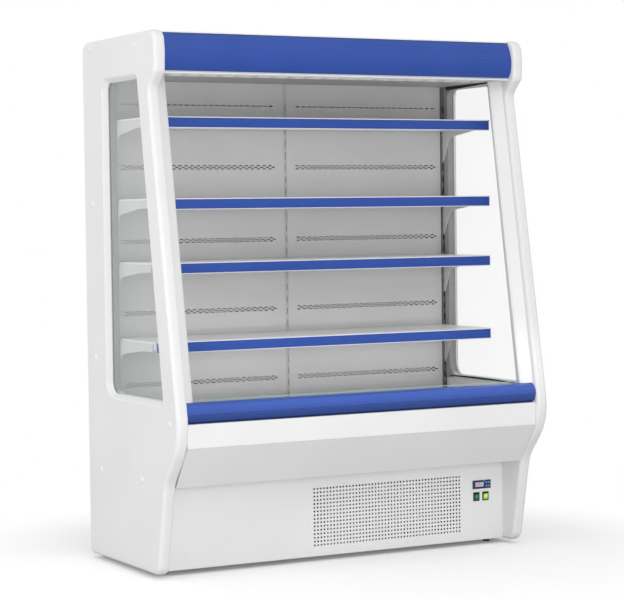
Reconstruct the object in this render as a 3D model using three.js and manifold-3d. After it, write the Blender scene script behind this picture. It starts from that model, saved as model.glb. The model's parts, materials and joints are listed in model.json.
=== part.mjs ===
// Open multideck display fridge: a self-contained cabinet with moulded end panels, glazed
// end windows, four hanging shelves with ticket strips, a blue canopy fascia and a blue bumper.
//
// Millimetres. +Z up from the floor, +X to the right of someone facing the cabinet, and the
// front faces -Y. The origin is on the floor, under the middle of the cabinet's footprint.
// Depths are stated as distances from the back face, because the cabinet stands against a wall.

import * as THREE from 'three';
import { mergeGeometries, mergeVertices } from 'three/addons/utils/BufferGeometryUtils.js';
import Module from 'manifold-3d';

const wasm = await Module();
wasm.setup();

// ---------------------------------------------------------------- driving dimensions

const gap = 0.3; // clearance between pieces that seat on each other
const sheet = 1.5; // folded sheet steel

// overall
const overallWidth = 1500;
const overallHeight = 1886;
const footHeight = 15;

// moulded end panels, as seen from the side: depth from the back, height, corner radius
const panelThickness = 44;
const panelOuterRound = 14;
const panelInnerRound = 12;
const bellyHeight = 481;
const bellyReach = 806;
const bellyRadius = 190;
const noseFootDepth = 615;
const noseWaistDepth = 680;
const noseWaistHeight = 338;
const throatDepth = 592;
const throatDrop = 198; // drops are measured down from the top
const browDepth = 648;
const browDrop = 145;
const browTopDepth = 642;
const footCornerRadius = 40;
const topCornerRadius = 42;
const rearFootRadius = 22;

// end windows, at the glass
const windowRearMargin = 34; // in front of the rear panels
const windowOverDeck = 103;
const windowTopDrop = 158;
const windowFrontAtBottom = 660;
const windowFrontAtTop = 481;
const windowCornerRadius = 10;
const windowRearTopRadius = 28;
const windowRearBottomRadius = 48;
const recessSpread = 19;
const lipFromInside = 22.6;
const glassThickness = 6;
const glassRebate = 10;

// inner window frame and its front post
const frameProud = 6;
const postInset = 41;
const postDepth = 12;
const postSetBackLow = 43; // behind the nose line, at the window's bottom
const postSetBackHigh = 35; // and at the ceiling
const postSlant = 20;
const frameRearBand = 30;
const frameRail = 13;

// insulated shell
const wallDepthFromBack = 6;
const wallThickness = 50;
const roofDrop = 3;
const roofThickness = 46;
const roofFront = 598;
const tubBottom = 325;
const tubFloorThickness = 42;
const tubRearDepth = 104;
const tubFrontSetBack = 24; // behind the end panels' front
const tubFrontThickness = 43;
const rimOverDeck = 33;

// display interior
const rearPanelDepth = 161;
const ceilingDrop = 145;
const deckHeight = 515;
const rearFlange = 24;

// slotted uprights
const uprightWidth = 16.7;
const sideUprightProud = 2; // in front of the rear panels
const centreUprightWidth = 13;
const slotPitch = 45;
const hookNeck = 9;
const hookDrop = 8;
const shelfLift = 12;
const slotHeight = hookNeck + shelfLift + 3;
const slotWidth = 6;
const slotOverDeck = 45;

// shelves
const shelfHeights = [1598, 1313, 1088, 812];
const shelfSideGap = 1.85;
const shelfRearGap = 4;
const shelfFrontSetBack = 112; // behind the nose line, at the top shelf
const shelfEdge = 28;
const stripHeight = 40;
const stripThickness = 6;
const stripLip = 9;
const stripLipHeight = 1.2;
const bracketThickness = 3;
const bracketDrop = 119;
const bracketProfile = [[5, 119], [24, 85], [36, 50], [50, 30], [75, 24], [215, 8]]; // from the rear, down

// perforation of the rear panels: band heights and slots in each band
const bandHeights = [1657, 1429, 1159, 899, 638];
const bandStart = 57;
const bandMargin = 35.7;
const bandSlots = 10;
const bandSlotLength = 30;
const bandSlotHeight = 7;

// canopy
const fasciaProfile = [[611, 3], [623, 14], [634, 36], [636, 71], [626, 105], [609, 137]]; // over the ceiling
const fasciaThickness = 3;
const carrierLip = 4.5;
const carrierWeb = 4;
const outletDepth = 72;
const outletFront = 528;
const outletHeight = 15;
const outletSlots = 20;

// lamp
const lampLength = 1200;
const lampDiameter = 26;
const lampDepth = 565;
const lampOverCeiling = 36;
const lampHolderThickness = 12;

// front below the display opening: set back from the end panels' front, heights over the tub's rim
const bumperBackSetBack = 61;
const bumperProfile = [[48, 71], [29, 65], [17, 48], [13, 23], [16, 8], [22, gap]];
const riserThickness = 6;
const riserOverRim = 78;
const bandSetBack = 19;
const bandBottom = 466;
const apronBottomDepth = 673;
const apronDrop = 2; // below the tub
const returnSlots = 20;

// plinth and its grille
const plinthDepth = 549;
const plinthBottom = 17;
const plinthReturn = 14;
const grilleInset = 192; // from the right end panel
const grilleWidth = 617;
const grilleBottom = 58;
const grilleTop = 262;
const grilleColumns = 18;
const grilleRows = 6;
const grilleHole = 7;

// controller and rocker switches
const controllerInset = 94; // from the right end panel
const controllerZ = 227;
const controllerSize = [80, 32];
const controllerProud = 3;
const controllerBody = 55;
const switchOffsets = [-23.5, 17]; // from the controller's middle
const switchZ = 182;
const switchFrame = [27, 33];
const switchWindow = [20.5, 27];
const switchProud = 2.5;
const switchBody = 18;
const rockerTilt = 8;
const rockerPivotBack = 3;
const rockerRadius = 8.5;

// machine compartment
const chassisSetBack = 9;
const chassisRear = 12;
const chassisHeight = 42;
const chassisPost = 30;
const footInset = 35;
const frontFootSetBack = 61;
const rearFootDepth = 70;
const footPad = 28;
const footPadHeight = 9;
const footStem = 10;
const footStemTop = 48;
const footBoss = 26;
const compressorX = -420;
const compressorDepth = 300;
const compressorDiameter = 200;
const compressorHeight = 205;
const condenserX = 205;
const condenserWidth = 480;
const condenserHeight = 230;
const condenserFront = 500;
const condenserCore = 70;
const condenserFins = 12;
const fanBlades = 5;
const condenserFanDiameter = 200;
const evaporatorFanDiameter = 96;
const fanBladeThickness = 2.5;
const fanHubRadius = 26;
const fanHubLength = 24;
const motorRadius = 30;
const motorShaftRadius = 4;
const evaporatorX = 0;
const evaporatorLength = 1180;
const evaporatorRear = 120;
const evaporatorDepth = 220;
const evaporatorHeight = 90;
const evaporatorFins = 14;
const fanPlateDepth = 585;
const deckOverhang = 27; // of the deck trays over the fan plate
const louvreColumns = 8;
const louvreSpan = 1200;
const louvreHeights = [120, 180, 240];
const louvreSize = [80, 10];

// ---------------------------------------------------------------- finishes

function finish(color, roughness, metalness = 0) {
  return { color, roughness, metalness };
}

const whiteMoulding = finish(0xececee, 0.38);
const whitePaint = finish(0xeeeeef, 0.35);
const greyPaint = finish(0xd6d6d8, 0.4);
const linerPaint = finish(0xc9cacb, 0.45);
const bluePlastic = finish(0x3d59a8, 0.33);
const clearGlass = finish(0xdfe9e6, 0.05);
const steelZinc = finish(0xb3b6b8, 0.42, 0.85);
const galvanised = finish(0xa9adaf, 0.5, 0.8);
const blackPlastic = finish(0x17181a, 0.5);
const darkGreen = finish(0x1d4a33, 0.3);
const litGreen = finish(0x5fb93c, 0.25);
const foamShell = finish(0xdadbdc, 0.5);
const aluminiumFin = finish(0xb9bdc0, 0.4, 0.9);
const lampGlass = finish(0xf6f6f2, 0.3);

// ---------------------------------------------------------------- making solids

// a closed mesh as a solid that can be joined and cut
function toSolid(geometry) {
  const bare = geometry.clone();
  bare.deleteAttribute('normal');
  bare.deleteAttribute('uv');
  const merged = mergeVertices(bare, 1e-4);
  return new wasm.Manifold(new wasm.Mesh({
    numProp: 3,
    vertProperties: new Float32Array(merged.attributes.position.array),
    triVerts: new Uint32Array(merged.index.array),
  }));
}

function toGeometry(solid) {
  const cut = solid.getMesh();
  const geometry = new THREE.BufferGeometry();
  geometry.setAttribute('position', new THREE.BufferAttribute(new Float32Array(cut.vertProperties), 3));
  geometry.setIndex(new THREE.BufferAttribute(new Uint32Array(cut.triVerts), 1));
  geometry.computeVertexNormals();
  return geometry;
}

function join(...geometries) {
  return toGeometry(geometries.map(toSolid).reduce((whole, piece) => whole.add(piece)));
}

function cut(geometry, ...cutters) {
  return toGeometry(cutters.map(toSolid).reduce((rest, cutter) => rest.subtract(cutter), toSolid(geometry)));
}

// a box between two corners, whichever way round they are given
function box(cornerA, cornerB) {
  const low = new THREE.Vector3(...cornerA).min(new THREE.Vector3(...cornerB));
  const high = new THREE.Vector3(...cornerA).max(new THREE.Vector3(...cornerB));
  const size = high.clone().sub(low);
  return new THREE.BoxGeometry(size.x, size.y, size.z)
    .translate((low.x + high.x) / 2, (low.y + high.y) / 2, (low.z + high.z) / 2);
}

// an upright or lying cylinder: axis is 'x', 'y' or 'z', from and to lie along it
function rod(axis, radius, from, to, centre, sides = 16) {
  const geometry = new THREE.CylinderGeometry(radius, radius, to - from, sides);
  if (axis === 'x') geometry.rotateZ(Math.PI / 2);
  if (axis === 'z') geometry.rotateX(Math.PI / 2);
  const middle = (from + to) / 2;
  const place = { x: [middle, ...centre], y: [centre[0], middle, centre[1]], z: [...centre, middle] }[axis];
  return geometry.translate(...place);
}

// closed outline with a fillet at each corner; corners are [along, up, radius]
function filleted(corners, stepDegrees = 15) {
  const points = [];
  corners.forEach(([a, b, radius], index) => {
    const corner = new THREE.Vector2(a, b);
    const before = new THREE.Vector2(...corners.at(index - 1));
    const after = new THREE.Vector2(...corners[(index + 1) % corners.length]);
    const toBefore = before.sub(corner).normalize();
    const toAfter = after.sub(corner).normalize();
    const opening = Math.acos(THREE.MathUtils.clamp(toBefore.dot(toAfter), -1, 1));
    if (!radius) {
      points.push(corner);
      return;
    }
    const reach = radius / Math.tan(opening / 2);
    const bisector = toBefore.clone().add(toAfter).normalize();
    const centre = corner.clone().addScaledVector(bisector, radius / Math.sin(opening / 2));
    const start = corner.clone().addScaledVector(toBefore, reach).sub(centre);
    const turn = Math.PI - opening;
    const side = Math.sign(toBefore.cross(toAfter)) || 1;
    const steps = Math.max(2, Math.ceil(THREE.MathUtils.radToDeg(turn) / stepDegrees));
    for (let step = 0; step <= steps; step += 1) {
      const arm = start.clone().rotateAround(new THREE.Vector2(), -side * turn * step / steps);
      points.push(arm.add(centre));
    }
  });
  return points;
}

// the outline moved inwards by inset, or outwards where inset is negative
function offsetOutline(outline, inset) {
  const winding = Math.sign(THREE.ShapeUtils.area(outline));
  return outline.map((point, index) => {
    const before = outline.at(index - 1);
    const after = outline[(index + 1) % outline.length];
    const edgeIn = point.clone().sub(before).normalize();
    const edgeOut = after.clone().sub(point).normalize();
    const normalIn = new THREE.Vector2(-edgeIn.y, edgeIn.x);
    const normalOut = new THREE.Vector2(-edgeOut.y, edgeOut.x);
    const mitre = normalIn.clone().add(normalOut).normalize();
    const stretch = inset / Math.max(0.5, mitre.dot(normalIn));
    return point.clone().addScaledVector(mitre, winding * stretch);
  });
}

// skin over a row of rings with equal point counts, closed by flat caps at both ends
function loft(rings) {
  const count = rings[0].length;
  const positions = rings.flat().flatMap((point) => [point.x, point.y, point.z]);
  const faces = [];
  for (let ring = 0; ring + 1 < rings.length; ring += 1) {
    for (let index = 0; index < count; index += 1) {
      const next = (index + 1) % count;
      const low = ring * count;
      const high = low + count;
      faces.push(low + index, low + next, high + next, low + index, high + next, high + index);
    }
  }
  const capPlane = flatten(rings[0]);
  const capWinding = THREE.ShapeUtils.isClockWise(capPlane);
  const lastRing = (rings.length - 1) * count;
  THREE.ShapeUtils.triangulateShape(capPlane, []).forEach(([a, b, c]) => {
    const first = capWinding ? [a, b, c] : [a, c, b];
    const last = capWinding ? [a, c, b] : [a, b, c];
    faces.push(...first);
    faces.push(...last.map((vertex) => vertex + lastRing));
  });
  const geometry = new THREE.BufferGeometry();
  geometry.setAttribute('position', new THREE.Float32BufferAttribute(positions, 3));
  geometry.setIndex(faces);
  return facingOut(geometry);
}

// ring points in their own plane, for the cap's triangles
function flatten(ring) {
  const spans = ['x', 'y', 'z'].map((axis) => {
    const values = ring.map((point) => point[axis]);
    return Math.max(...values) - Math.min(...values);
  });
  const thin = spans.indexOf(Math.min(...spans));
  if (thin === 0) return ring.map((point) => new THREE.Vector2(point.y, point.z));
  return ring.map((point) => new THREE.Vector2(point.x, thin === 1 ? point.z : point.y));
}

function signedVolume(geometry) {
  const position = geometry.attributes.position;
  const order = geometry.index.array;
  const [a, b, c] = [new THREE.Vector3(), new THREE.Vector3(), new THREE.Vector3()];
  let total = 0;
  for (let index = 0; index < order.length; index += 3) {
    a.fromBufferAttribute(position, order[index]);
    b.fromBufferAttribute(position, order[index + 1]);
    c.fromBufferAttribute(position, order[index + 2]);
    total += a.dot(b.cross(c)) / 6;
  }
  return total;
}

function facingOut(geometry) {
  if (signedVolume(geometry) < 0) {
    const order = geometry.index.array;
    for (let index = 0; index < order.length; index += 3) {
      [order[index + 1], order[index + 2]] = [order[index + 2], order[index + 1]];
    }
  }
  geometry.computeVertexNormals();
  return geometry;
}

// ---------------------------------------------------------------- the cabinet's frame

const innerHalf = overallWidth / 2 - panelThickness;
const fittedHalf = innerHalf - gap;

// heights that follow the top
const throatHeight = overallHeight - throatDrop;
const browHeight = overallHeight - browDrop;
const windowTop = overallHeight - windowTopDrop;
const roofTop = overallHeight - roofDrop;
const ceilingHeight = overallHeight - ceilingDrop;
const lampHeight = ceilingHeight + lampOverCeiling;

// heights that follow the tub and the deck
const tubFloor = tubBottom + tubFloorThickness;
const tubRim = deckHeight + rimOverDeck;
const riserTop = tubRim + riserOverRim;
const windowBottom = deckHeight + windowOverDeck;
const slotStart = deckHeight + slotOverDeck;
const apronBottom = tubBottom - apronDrop;

// depths that follow the rear panels
const sideUprightFront = rearPanelDepth + sideUprightProud;
const windowRear = rearPanelDepth + windowRearMargin;
const shelfRear = sideUprightFront + shelfRearGap;

// depths that follow the plinth and the fan plate
const chassisFront = plinthDepth - chassisSetBack;
const frontFootDepth = plinthDepth - frontFootSetBack;
const deckFront = fanPlateDepth + deckOverhang;

// places along the cabinet
const controllerX = innerHalf - controllerInset;
const switchX = switchOffsets.map((offset) => controllerX + offset);
const grilleRight = innerHalf - grilleInset;
const grilleLeft = grilleRight - grilleWidth;
const footX = innerHalf - footInset;

const panelOutline = filleted([
  [0, footHeight, rearFootRadius],
  [noseFootDepth, footHeight, footCornerRadius],
  [noseWaistDepth, noseWaistHeight, 120],
  [bellyReach, bellyHeight, bellyRadius],
  [throatDepth, throatHeight, 30],
  [browDepth, browHeight, 26],
  [browTopDepth + 10, browHeight + 74, 120],
  [browTopDepth, overallHeight, topCornerRadius],
  [0, overallHeight, topCornerRadius],
], 16);

const overallDepth = Math.max(...panelOutline.map((point) => point.x));
const backY = overallDepth / 2;

// depths that follow the end panels' front
const tubFrontDepth = overallDepth - tubFrontSetBack;
const tubFrontInner = tubFrontDepth - tubFrontThickness;
const bumperBack = overallDepth - bumperBackSetBack;
const bandFaceDepth = overallDepth - bandSetBack;

// Y of a point that lies this far in front of the back face
const atDepth = (depth) => backY - depth;

// depth of the end panels' straight front edge at a height between belly and throat
function noseDepth(height) {
  const share = (height - bellyHeight) / (throatHeight - bellyHeight);
  return THREE.MathUtils.lerp(bellyReach, throatDepth, share);
}

// depth of the front posts' face, which leans back a little less than the nose
function postFace(height) {
  const share = (height - windowBottom) / (ceilingHeight - windowBottom);
  return noseDepth(height) - THREE.MathUtils.lerp(postSetBackLow, postSetBackHigh, share);
}

// the front posts lean back, so the top shelf sets the depth of all
const shelfFront = noseDepth(Math.max(...shelfHeights)) - shelfFrontSetBack;

// ring across the cabinet: an outline of [depth, height] at one X
function ringAt(x, outline) {
  return outline.map((point) => new THREE.Vector3(x, atDepth(point.x), point.y));
}

// bar along X with a closed section of [depth, height] points
function barAlongX(section, fromX, toX) {
  const outline = section.map((point) => (point.isVector2 ? point : new THREE.Vector2(...point)));
  return loft([ringAt(fromX, outline), ringAt(toX, outline)]);
}

// box given by X range, depth range and height range
function block([x0, x1], [depth0, depth1], [z0, z1]) {
  return box([x0, atDepth(depth0), z0], [x1, atDepth(depth1), z1]);
}

// flat plate facing front, pierced by cutters that stand clear of each other
function platePierced(rangeX, rangeZ, frontDepth, thickness, cutters) {
  const plate = block(rangeX, [frontDepth - thickness, frontDepth], rangeZ);
  return cut(plate, mergeGeometries(cutters));
}

// cutters through a plate that faces front
const oblong = (x, z, width, height, frontDepth) => block(
  [x - width / 2, x + width / 2],
  [frontDepth - 20, frontDepth + 20],
  [z - height / 2, z + height / 2],
);

const roundHole = (x, z, radius, frontDepth, corners) => rod(
  'y', radius, atDepth(frontDepth + 20), atDepth(frontDepth - 20), [x, z], corners,
);

const evenly = (from, to, count) => Array.from(
  { length: count },
  (unused, index) => from + (to - from) * index / (count - 1),
);

const cabinet = new THREE.Group();

function add(name, geometry, look, parent = cabinet) {
  const mesh = new THREE.Mesh(geometry, new THREE.MeshStandardMaterial(look));
  mesh.name = name;
  parent.add(mesh);
  return mesh;
}

const sides = [['left', -1], ['right', 1]];

// ---------------------------------------------------------------- end panels and windows

const windowOutline = filleted([
  [windowRear, windowBottom, windowRearBottomRadius],
  [windowFrontAtBottom, windowBottom, windowCornerRadius],
  [windowFrontAtTop, windowTop, windowCornerRadius],
  [windowRear, windowTop, windowRearTopRadius],
], 22);

// inside is 0 at the panel's inner face and grows towards its outer face
const fromInner = (side, inside) => side * (innerHalf + inside);

function panelSlab(side) {
  const rings = [];
  for (let step = 0; step <= 2; step += 1) {
    const angle = Math.PI / 2 * step / 2;
    const inset = panelInnerRound * (1 - Math.sin(angle));
    const inside = panelInnerRound * (1 - Math.cos(angle));
    rings.push(ringAt(fromInner(side, inside), offsetOutline(panelOutline, inset)));
  }
  for (let step = 0; step <= 3; step += 1) {
    const angle = Math.PI / 2 * step / 3;
    const inset = panelOuterRound * (1 - Math.cos(angle));
    const inside = panelThickness - panelOuterRound * (1 - Math.sin(angle));
    rings.push(ringAt(fromInner(side, inside), offsetOutline(panelOutline, inset)));
  }
  return loft(rings);
}

// sloped, softly rounded recess round the glass, cut from the outer face
function windowRecess(side) {
  const slope = [
    [lipFromInside - 2, 0],
    [lipFromInside + 1.5, 0],
    [panelThickness - 8, recessSpread * 0.5],
    [panelThickness - 2.5, recessSpread * 0.78],
    [panelThickness, recessSpread],
    [panelThickness + 2, recessSpread * 1.15],
  ];
  return loft(slope.map(([inside, spread]) => ringAt(
    fromInner(side, inside),
    offsetOutline(windowOutline, -spread),
  )));
}

function glassRebateCut(side) {
  const outline = offsetOutline(windowOutline, -glassRebate);
  return barAlongX(outline, fromInner(side, -2), fromInner(side, lipFromInside));
}

function endPanel(side) {
  return cut(panelSlab(side), windowRecess(side), glassRebateCut(side));
}

function sideGlass(side) {
  const outline = offsetOutline(windowOutline, gap - glassRebate);
  const inner = lipFromInside - gap - glassThickness;
  return barAlongX(outline, fromInner(side, inner), fromInner(side, inner + glassThickness));
}

// glazing bead inside the rebate, with a flat flange and the front post that carries the nose line
function windowFrame(side) {
  const bead = barAlongX(
    offsetOutline(windowOutline, gap - glassRebate),
    fromInner(side, -gap),
    fromInner(side, lipFromInside - glassThickness - 2 * gap),
  );
  const flangeFrontBottom = Math.min(postFace(windowBottom) - 4, bumperBack - gap); // the bumper crosses here
  const flangeFrontTop = postFace(windowTop) - 4;
  const flange = barAlongX(filleted([
    [windowRear - frameRearBand + 2, windowBottom - frameRail, 6],
    [flangeFrontBottom, windowBottom - frameRail, 4],
    [flangeFrontTop, windowTop + frameRail - gap, 4],
    [windowRear - frameRearBand + 2, windowTop + frameRail - gap, 6],
  ], 45), fromInner(side, -frameProud), fromInner(side, -gap));
  const opening = barAlongX(windowOutline, fromInner(side, -60), fromInner(side, 60));
  return join(cut(join(bead, flange), opening), framePost(side));
}

function framePost(side) {
  const section = (height) => {
    const face = postFace(height);
    return [
      [-gap, face + postSlant],
      [-postInset + 5, face],
      [-postInset, face - 5],
      [-postInset, face - postDepth],
      [-gap, face - postDepth],
    ].map(([inside, depth]) => new THREE.Vector3(fromInner(side, inside), atDepth(depth), height));
  };
  const bumperTop = tubRim + bumperProfile[0][1];
  return loft([section(bumperTop + gap), section(ceilingHeight - gap)]);
}

// ---------------------------------------------------------------- insulated shell

function rearWall() {
  return block(
    [-fittedHalf, fittedHalf],
    [wallDepthFromBack, wallDepthFromBack + wallThickness],
    [tubBottom, roofTop - roofThickness - gap],
  );
}

function roofPanel() {
  return block([-fittedHalf, fittedHalf], [wallDepthFromBack, roofFront], [roofTop - roofThickness, roofTop]);
}

// trough under the deck that holds the evaporator, with a raised front wall
function baseTub() {
  const rear = wallDepthFromBack + wallThickness + gap;
  const skin = sheet + gap;
  return barAlongX([
    [rear, tubBottom],
    [apronBottomDepth - skin - 6, tubBottom + skin],
    [tubFrontDepth, bandBottom],
    [tubFrontDepth, tubRim],
    [tubFrontInner, tubRim],
    [tubFrontInner, bandBottom + 20],
    [apronBottomDepth - 40, tubFloor],
    [tubRearDepth, tubFloor],
    [tubRearDepth, deckHeight - 60],
    [rear, deckHeight - 60],
  ], -fittedHalf, fittedHalf);
}

// ---------------------------------------------------------------- rear of the display

function rearPanel(side) {
  const inner = centreUprightWidth / 2 + gap;
  const outer = innerHalf - gap - uprightWidth - gap;
  const range = side < 0 ? [-outer, -inner] : [inner, outer];
  const bottom = deckHeight - sheet - gap;
  const holes = bandHeights.flatMap((height) => evenly(bandStart, outer - bandMargin, bandSlots)
    .map((x) => oblong(side * x, height, bandSlotLength, bandSlotHeight, rearPanelDepth)));
  const web = platePierced(range, [bottom - sheet, ceilingHeight - gap], rearPanelDepth, sheet, holes);
  const flange = block(
    range,
    [rearPanelDepth - sheet / 2, rearPanelDepth + rearFlange],
    [bottom - sheet, bottom],
  );
  return join(web, flange);
}

const slotHeights = [];
for (let height = slotStart; height < ceilingHeight - 60; height += slotPitch) slotHeights.push(height);

// channel with its slotted web to the front
function upright(x, width, frontDepth, rearDepth, bottom) {
  const wall = 2;
  const outer = block([x - width / 2, x + width / 2], [rearDepth, frontDepth], [bottom, ceilingHeight - gap]);
  const hollow = block(
    [x - width / 2 + wall, x + width / 2 - wall],
    [rearDepth - 5, frontDepth - wall],
    [bottom - 5, ceilingHeight + 5],
  );
  const slots = slotHeights.map((height) => block(
    [x - slotWidth / 2, x + slotWidth / 2],
    [frontDepth - wall - 3, frontDepth + 3],
    [height, height + slotHeight],
  ));
  return cut(outer, hollow, ...slots);
}

const sideUprightX = fittedHalf - uprightWidth / 2;
const uprightRear = wallDepthFromBack + wallThickness + gap;

// tray of the deck, hollow underneath, that lies on the rear panel's flange and the fan plate's
function deckTray(side) {
  const range = side < 0 ? [2 - fittedHalf, -1] : [1, fittedHalf - 2];
  const pastEnds = [range[0] - 5, range[1] + 5];
  const under = [deckHeight - 20, deckHeight - sheet];
  const flangeFront = rearPanelDepth + rearFlange;
  return cut(
    block(range, [rearPanelDepth + 1, deckFront], [deckHeight - 12, deckHeight]),
    block([range[0] + sheet, range[1] - sheet], [flangeFront + 3, fanPlateDepth - 3], under),
    block(pastEnds, [rearPanelDepth - 5, flangeFront + 2], under),
    block(pastEnds, [fanPlateDepth - 2, deckFront + 5], under),
  );
}

// ---------------------------------------------------------------- shelves

const shelfHalf = sideUprightX - bracketThickness / 2 - shelfSideGap;

// pan of folded sheet, open underneath; its top is the group's zero height, and its front edge
// is joggled down so that the ticket strip's lip lies flush with the top
function shelfPan() {
  const joggleStart = shelfFront + gap - stripLip - gap;
  const inside = [-shelfHalf + sheet, shelfHalf - sheet];
  const openBottom = -shelfEdge - 5;
  return cut(
    block([-shelfHalf, shelfHalf], [shelfRear, shelfFront], [-shelfEdge, 0]),
    block([-shelfHalf - 5, shelfHalf + 5], [joggleStart, shelfFront + 5], [-stripLipHeight - gap, 5]),
    block(inside, [shelfRear + sheet, joggleStart - sheet], [openBottom, -sheet]),
    block(inside, [joggleStart - sheet - 1, shelfFront - sheet], [openBottom, -stripLipHeight - gap - sheet]),
  );
}

// ticket strip: a flat face with a lip at the top and the bottom that grips the shelf's front edge
function ticketStrip() {
  const back = shelfFront + gap;
  const face = back + stripThickness;
  return barAlongX([
    [back, -stripHeight + 3],
    [back, -stripHeight],
    [face - 1, -stripHeight],
    [face, -stripHeight + 2],
    [face, -2],
    [face - 1, 0],
    [back - stripLip, 0],
    [back - stripLip, -stripLipHeight],
    [back, -stripLipHeight],
    [back, -4],
    [face - 2.2, -5],
    [face - 2.2, -stripHeight + 3],
  ], -shelfHalf, shelfHalf);
}

// the slots that a shelf's brackets hang in: the two nearest under the shelf's top
function hookSlots(level) {
  const usable = slotHeights.filter((height) => height + hookNeck < level - 2);
  return usable.slice(-3).filter((height) => height > level - shelfEdge - bracketDrop);
}

function bracket(side, level) {
  const outer = sideUprightX + bracketThickness / 2;
  const inner = outer - bracketThickness;
  const rear = sideUprightFront + gap;
  const ledgeTop = -shelfEdge - gap;
  const plate = barAlongX([
    [rear, ledgeTop - bracketDrop],
    ...bracketProfile.map(([forward, drop]) => [rear + forward, ledgeTop - drop]),
    [shelfFront - 14, ledgeTop - 5],
    [shelfFront - 14, -6],
    [rear, -6],
  ], side * inner, side * outer);
  const ledge = block(
    [side * (inner - 14), side * (inner + 1)],
    [rear + 8, shelfFront - 14],
    [ledgeTop - 2, ledgeTop],
  );
  const hooks = hookSlots(level).map((height) => hook(side, height - level + gap, inner, outer));
  return join(plate, ledge, ...hooks);
}

// neck through the slot and a nose that drops behind the upright's web
function hook(side, seat, inner, outer) {
  const webRear = sideUprightFront - 2 - gap;
  return barAlongX([
    [sideUprightFront + gap + 1, seat],
    [webRear, seat],
    [webRear, seat - hookDrop],
    [webRear - 5, seat - hookDrop + 2],
    [webRear - 5, seat + hookNeck],
    [sideUprightFront + gap + 1, seat + hookNeck],
  ], side * inner, side * outer);
}

// ---------------------------------------------------------------- canopy, ceiling and lamp

const fasciaPoints = fasciaProfile.map(([depth, rise]) => new THREE.Vector2(depth, ceilingHeight + rise));

function canopyFascia() {
  const front = new THREE.SplineCurve(fasciaPoints).getPoints(14);
  const back = front.map((point) => new THREE.Vector2(point.x - fasciaThickness, point.y)).reverse();
  return barAlongX([...front, ...back], -fittedHalf, fittedHalf);
}

// white carrier: a web behind the fascia with a lip under it and a lip over it
function canopyCarrier() {
  const bottomDepth = fasciaPoints[0].x;
  const topDepth = fasciaPoints.at(-1).x;
  const rear = roofFront + gap;
  const web = rear + carrierWeb;
  const lipTop = fasciaPoints[0].y - gap;
  const capBottom = fasciaPoints.at(-1).y + gap;
  return barAlongX([
    [rear, lipTop - carrierLip],
    [bottomDepth + 2, lipTop - carrierLip],
    [bottomDepth + 2, lipTop],
    [web, lipTop],
    [web, capBottom],
    [topDepth + 1, capBottom],
    [topDepth + 1, roofTop],
    [rear, roofTop],
  ], -fittedHalf, fittedHalf);
}

const outletRear = outletFront - outletDepth;

function ceilingPanel() {
  const front = outletRear - gap;
  return barAlongX([
    [rearPanelDepth, ceilingHeight],
    [front, ceilingHeight],
    [front, ceilingHeight + 14],
    [front - sheet, ceilingHeight + 14],
    [front - sheet, ceilingHeight + sheet],
    [rearPanelDepth, ceilingHeight + sheet],
  ], -fittedHalf, fittedHalf);
}

// a grid of straight air channels through a flat bar
function airGrille(half, [depth0, depth1], [z0, z1], count, rib) {
  const pitch = (2 * half - rib) / count;
  const channels = Array.from({ length: count }, (unused, index) => {
    const left = -half + rib + pitch * index;
    return block([left, left + pitch - rib], [depth0 + rib, depth1 - rib], [z0 - 5, z1 + 5]);
  });
  return cut(block([-half, half], [depth0, depth1], [z0, z1]), mergeGeometries(channels));
}

function lampBatten() {
  const roofUnderside = roofTop - roofThickness - gap;
  const half = lampLength / 2 + gap;
  const tray = block(
    [-half - lampHolderThickness, half + lampHolderThickness],
    [lampDepth - 26, lampDepth + 26],
    [roofUnderside - 28, roofUnderside],
  );
  const holders = [-1, 1].map((side) => block(
    [side * half, side * (half + lampHolderThickness)],
    [lampDepth - 14, lampDepth + 14],
    [lampHeight - 18, roofUnderside - 20],
  ));
  const sockets = [-1, 1].map((side) => rod(
    'x', 9, Math.min(side * (half - 1), side * (half + 8)), Math.max(side * (half - 1), side * (half + 8)),
    [atDepth(lampDepth), lampHeight], 12,
  ));
  return cut(join(tray, ...holders), ...sockets);
}

// tube with metal end caps, each with the boss that turns in its holder
function lampTube() {
  const half = lampLength / 2;
  const tube = lampDiameter / 2;
  const cap = tube - 0.6;
  const boss = 7.5;
  const rightHalf = [
    [tube, half - 15], [cap, half - 14], [cap, half], [boss, half], [boss, half + 7], [0, half + 7],
  ];
  const leftHalf = rightHalf.map(([radius, along]) => [radius, -along]).reverse();
  const profile = [...leftHalf, ...rightHalf].map((point) => new THREE.Vector2(...point));
  const geometry = new THREE.LatheGeometry(profile, 14);
  return geometry.rotateZ(Math.PI / 2).translate(0, atDepth(lampDepth), lampHeight);
}

// ---------------------------------------------------------------- front, plinth and controls

function bumperRail() {
  const points = bumperProfile.map(([setBack, rise]) => (
    new THREE.Vector2(overallDepth - setBack, tubRim + rise)
  ));
  const front = new THREE.SplineCurve(points).getPoints(12);
  const back = [[bumperBack, tubRim + gap], [bumperBack, points[0].y]];
  return barAlongX([...back, ...front], -fittedHalf, fittedHalf);
}

function glassRiser() {
  const rear = bumperBack - gap - riserThickness;
  const half = innerHalf - postInset - gap;
  return block([-half, half], [rear, bumperBack - gap], [tubRim + gap, riserTop]);
}

// vertical band under the bumper, a flat sheet with folded edges
function upperFrontPanel() {
  const face = bandFaceDepth;
  const back = tubFrontDepth + gap;
  return barAlongX([
    [face, bandBottom + gap],
    [face, tubRim - gap],
    [back, tubRim - gap],
    [back, tubRim - gap - sheet],
    [face - sheet, tubRim - gap - sheet],
    [face - sheet, bandBottom + gap + sheet],
    [back, bandBottom + gap + sheet],
    [back, bandBottom + gap],
  ], -fittedHalf, fittedHalf);
}

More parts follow.
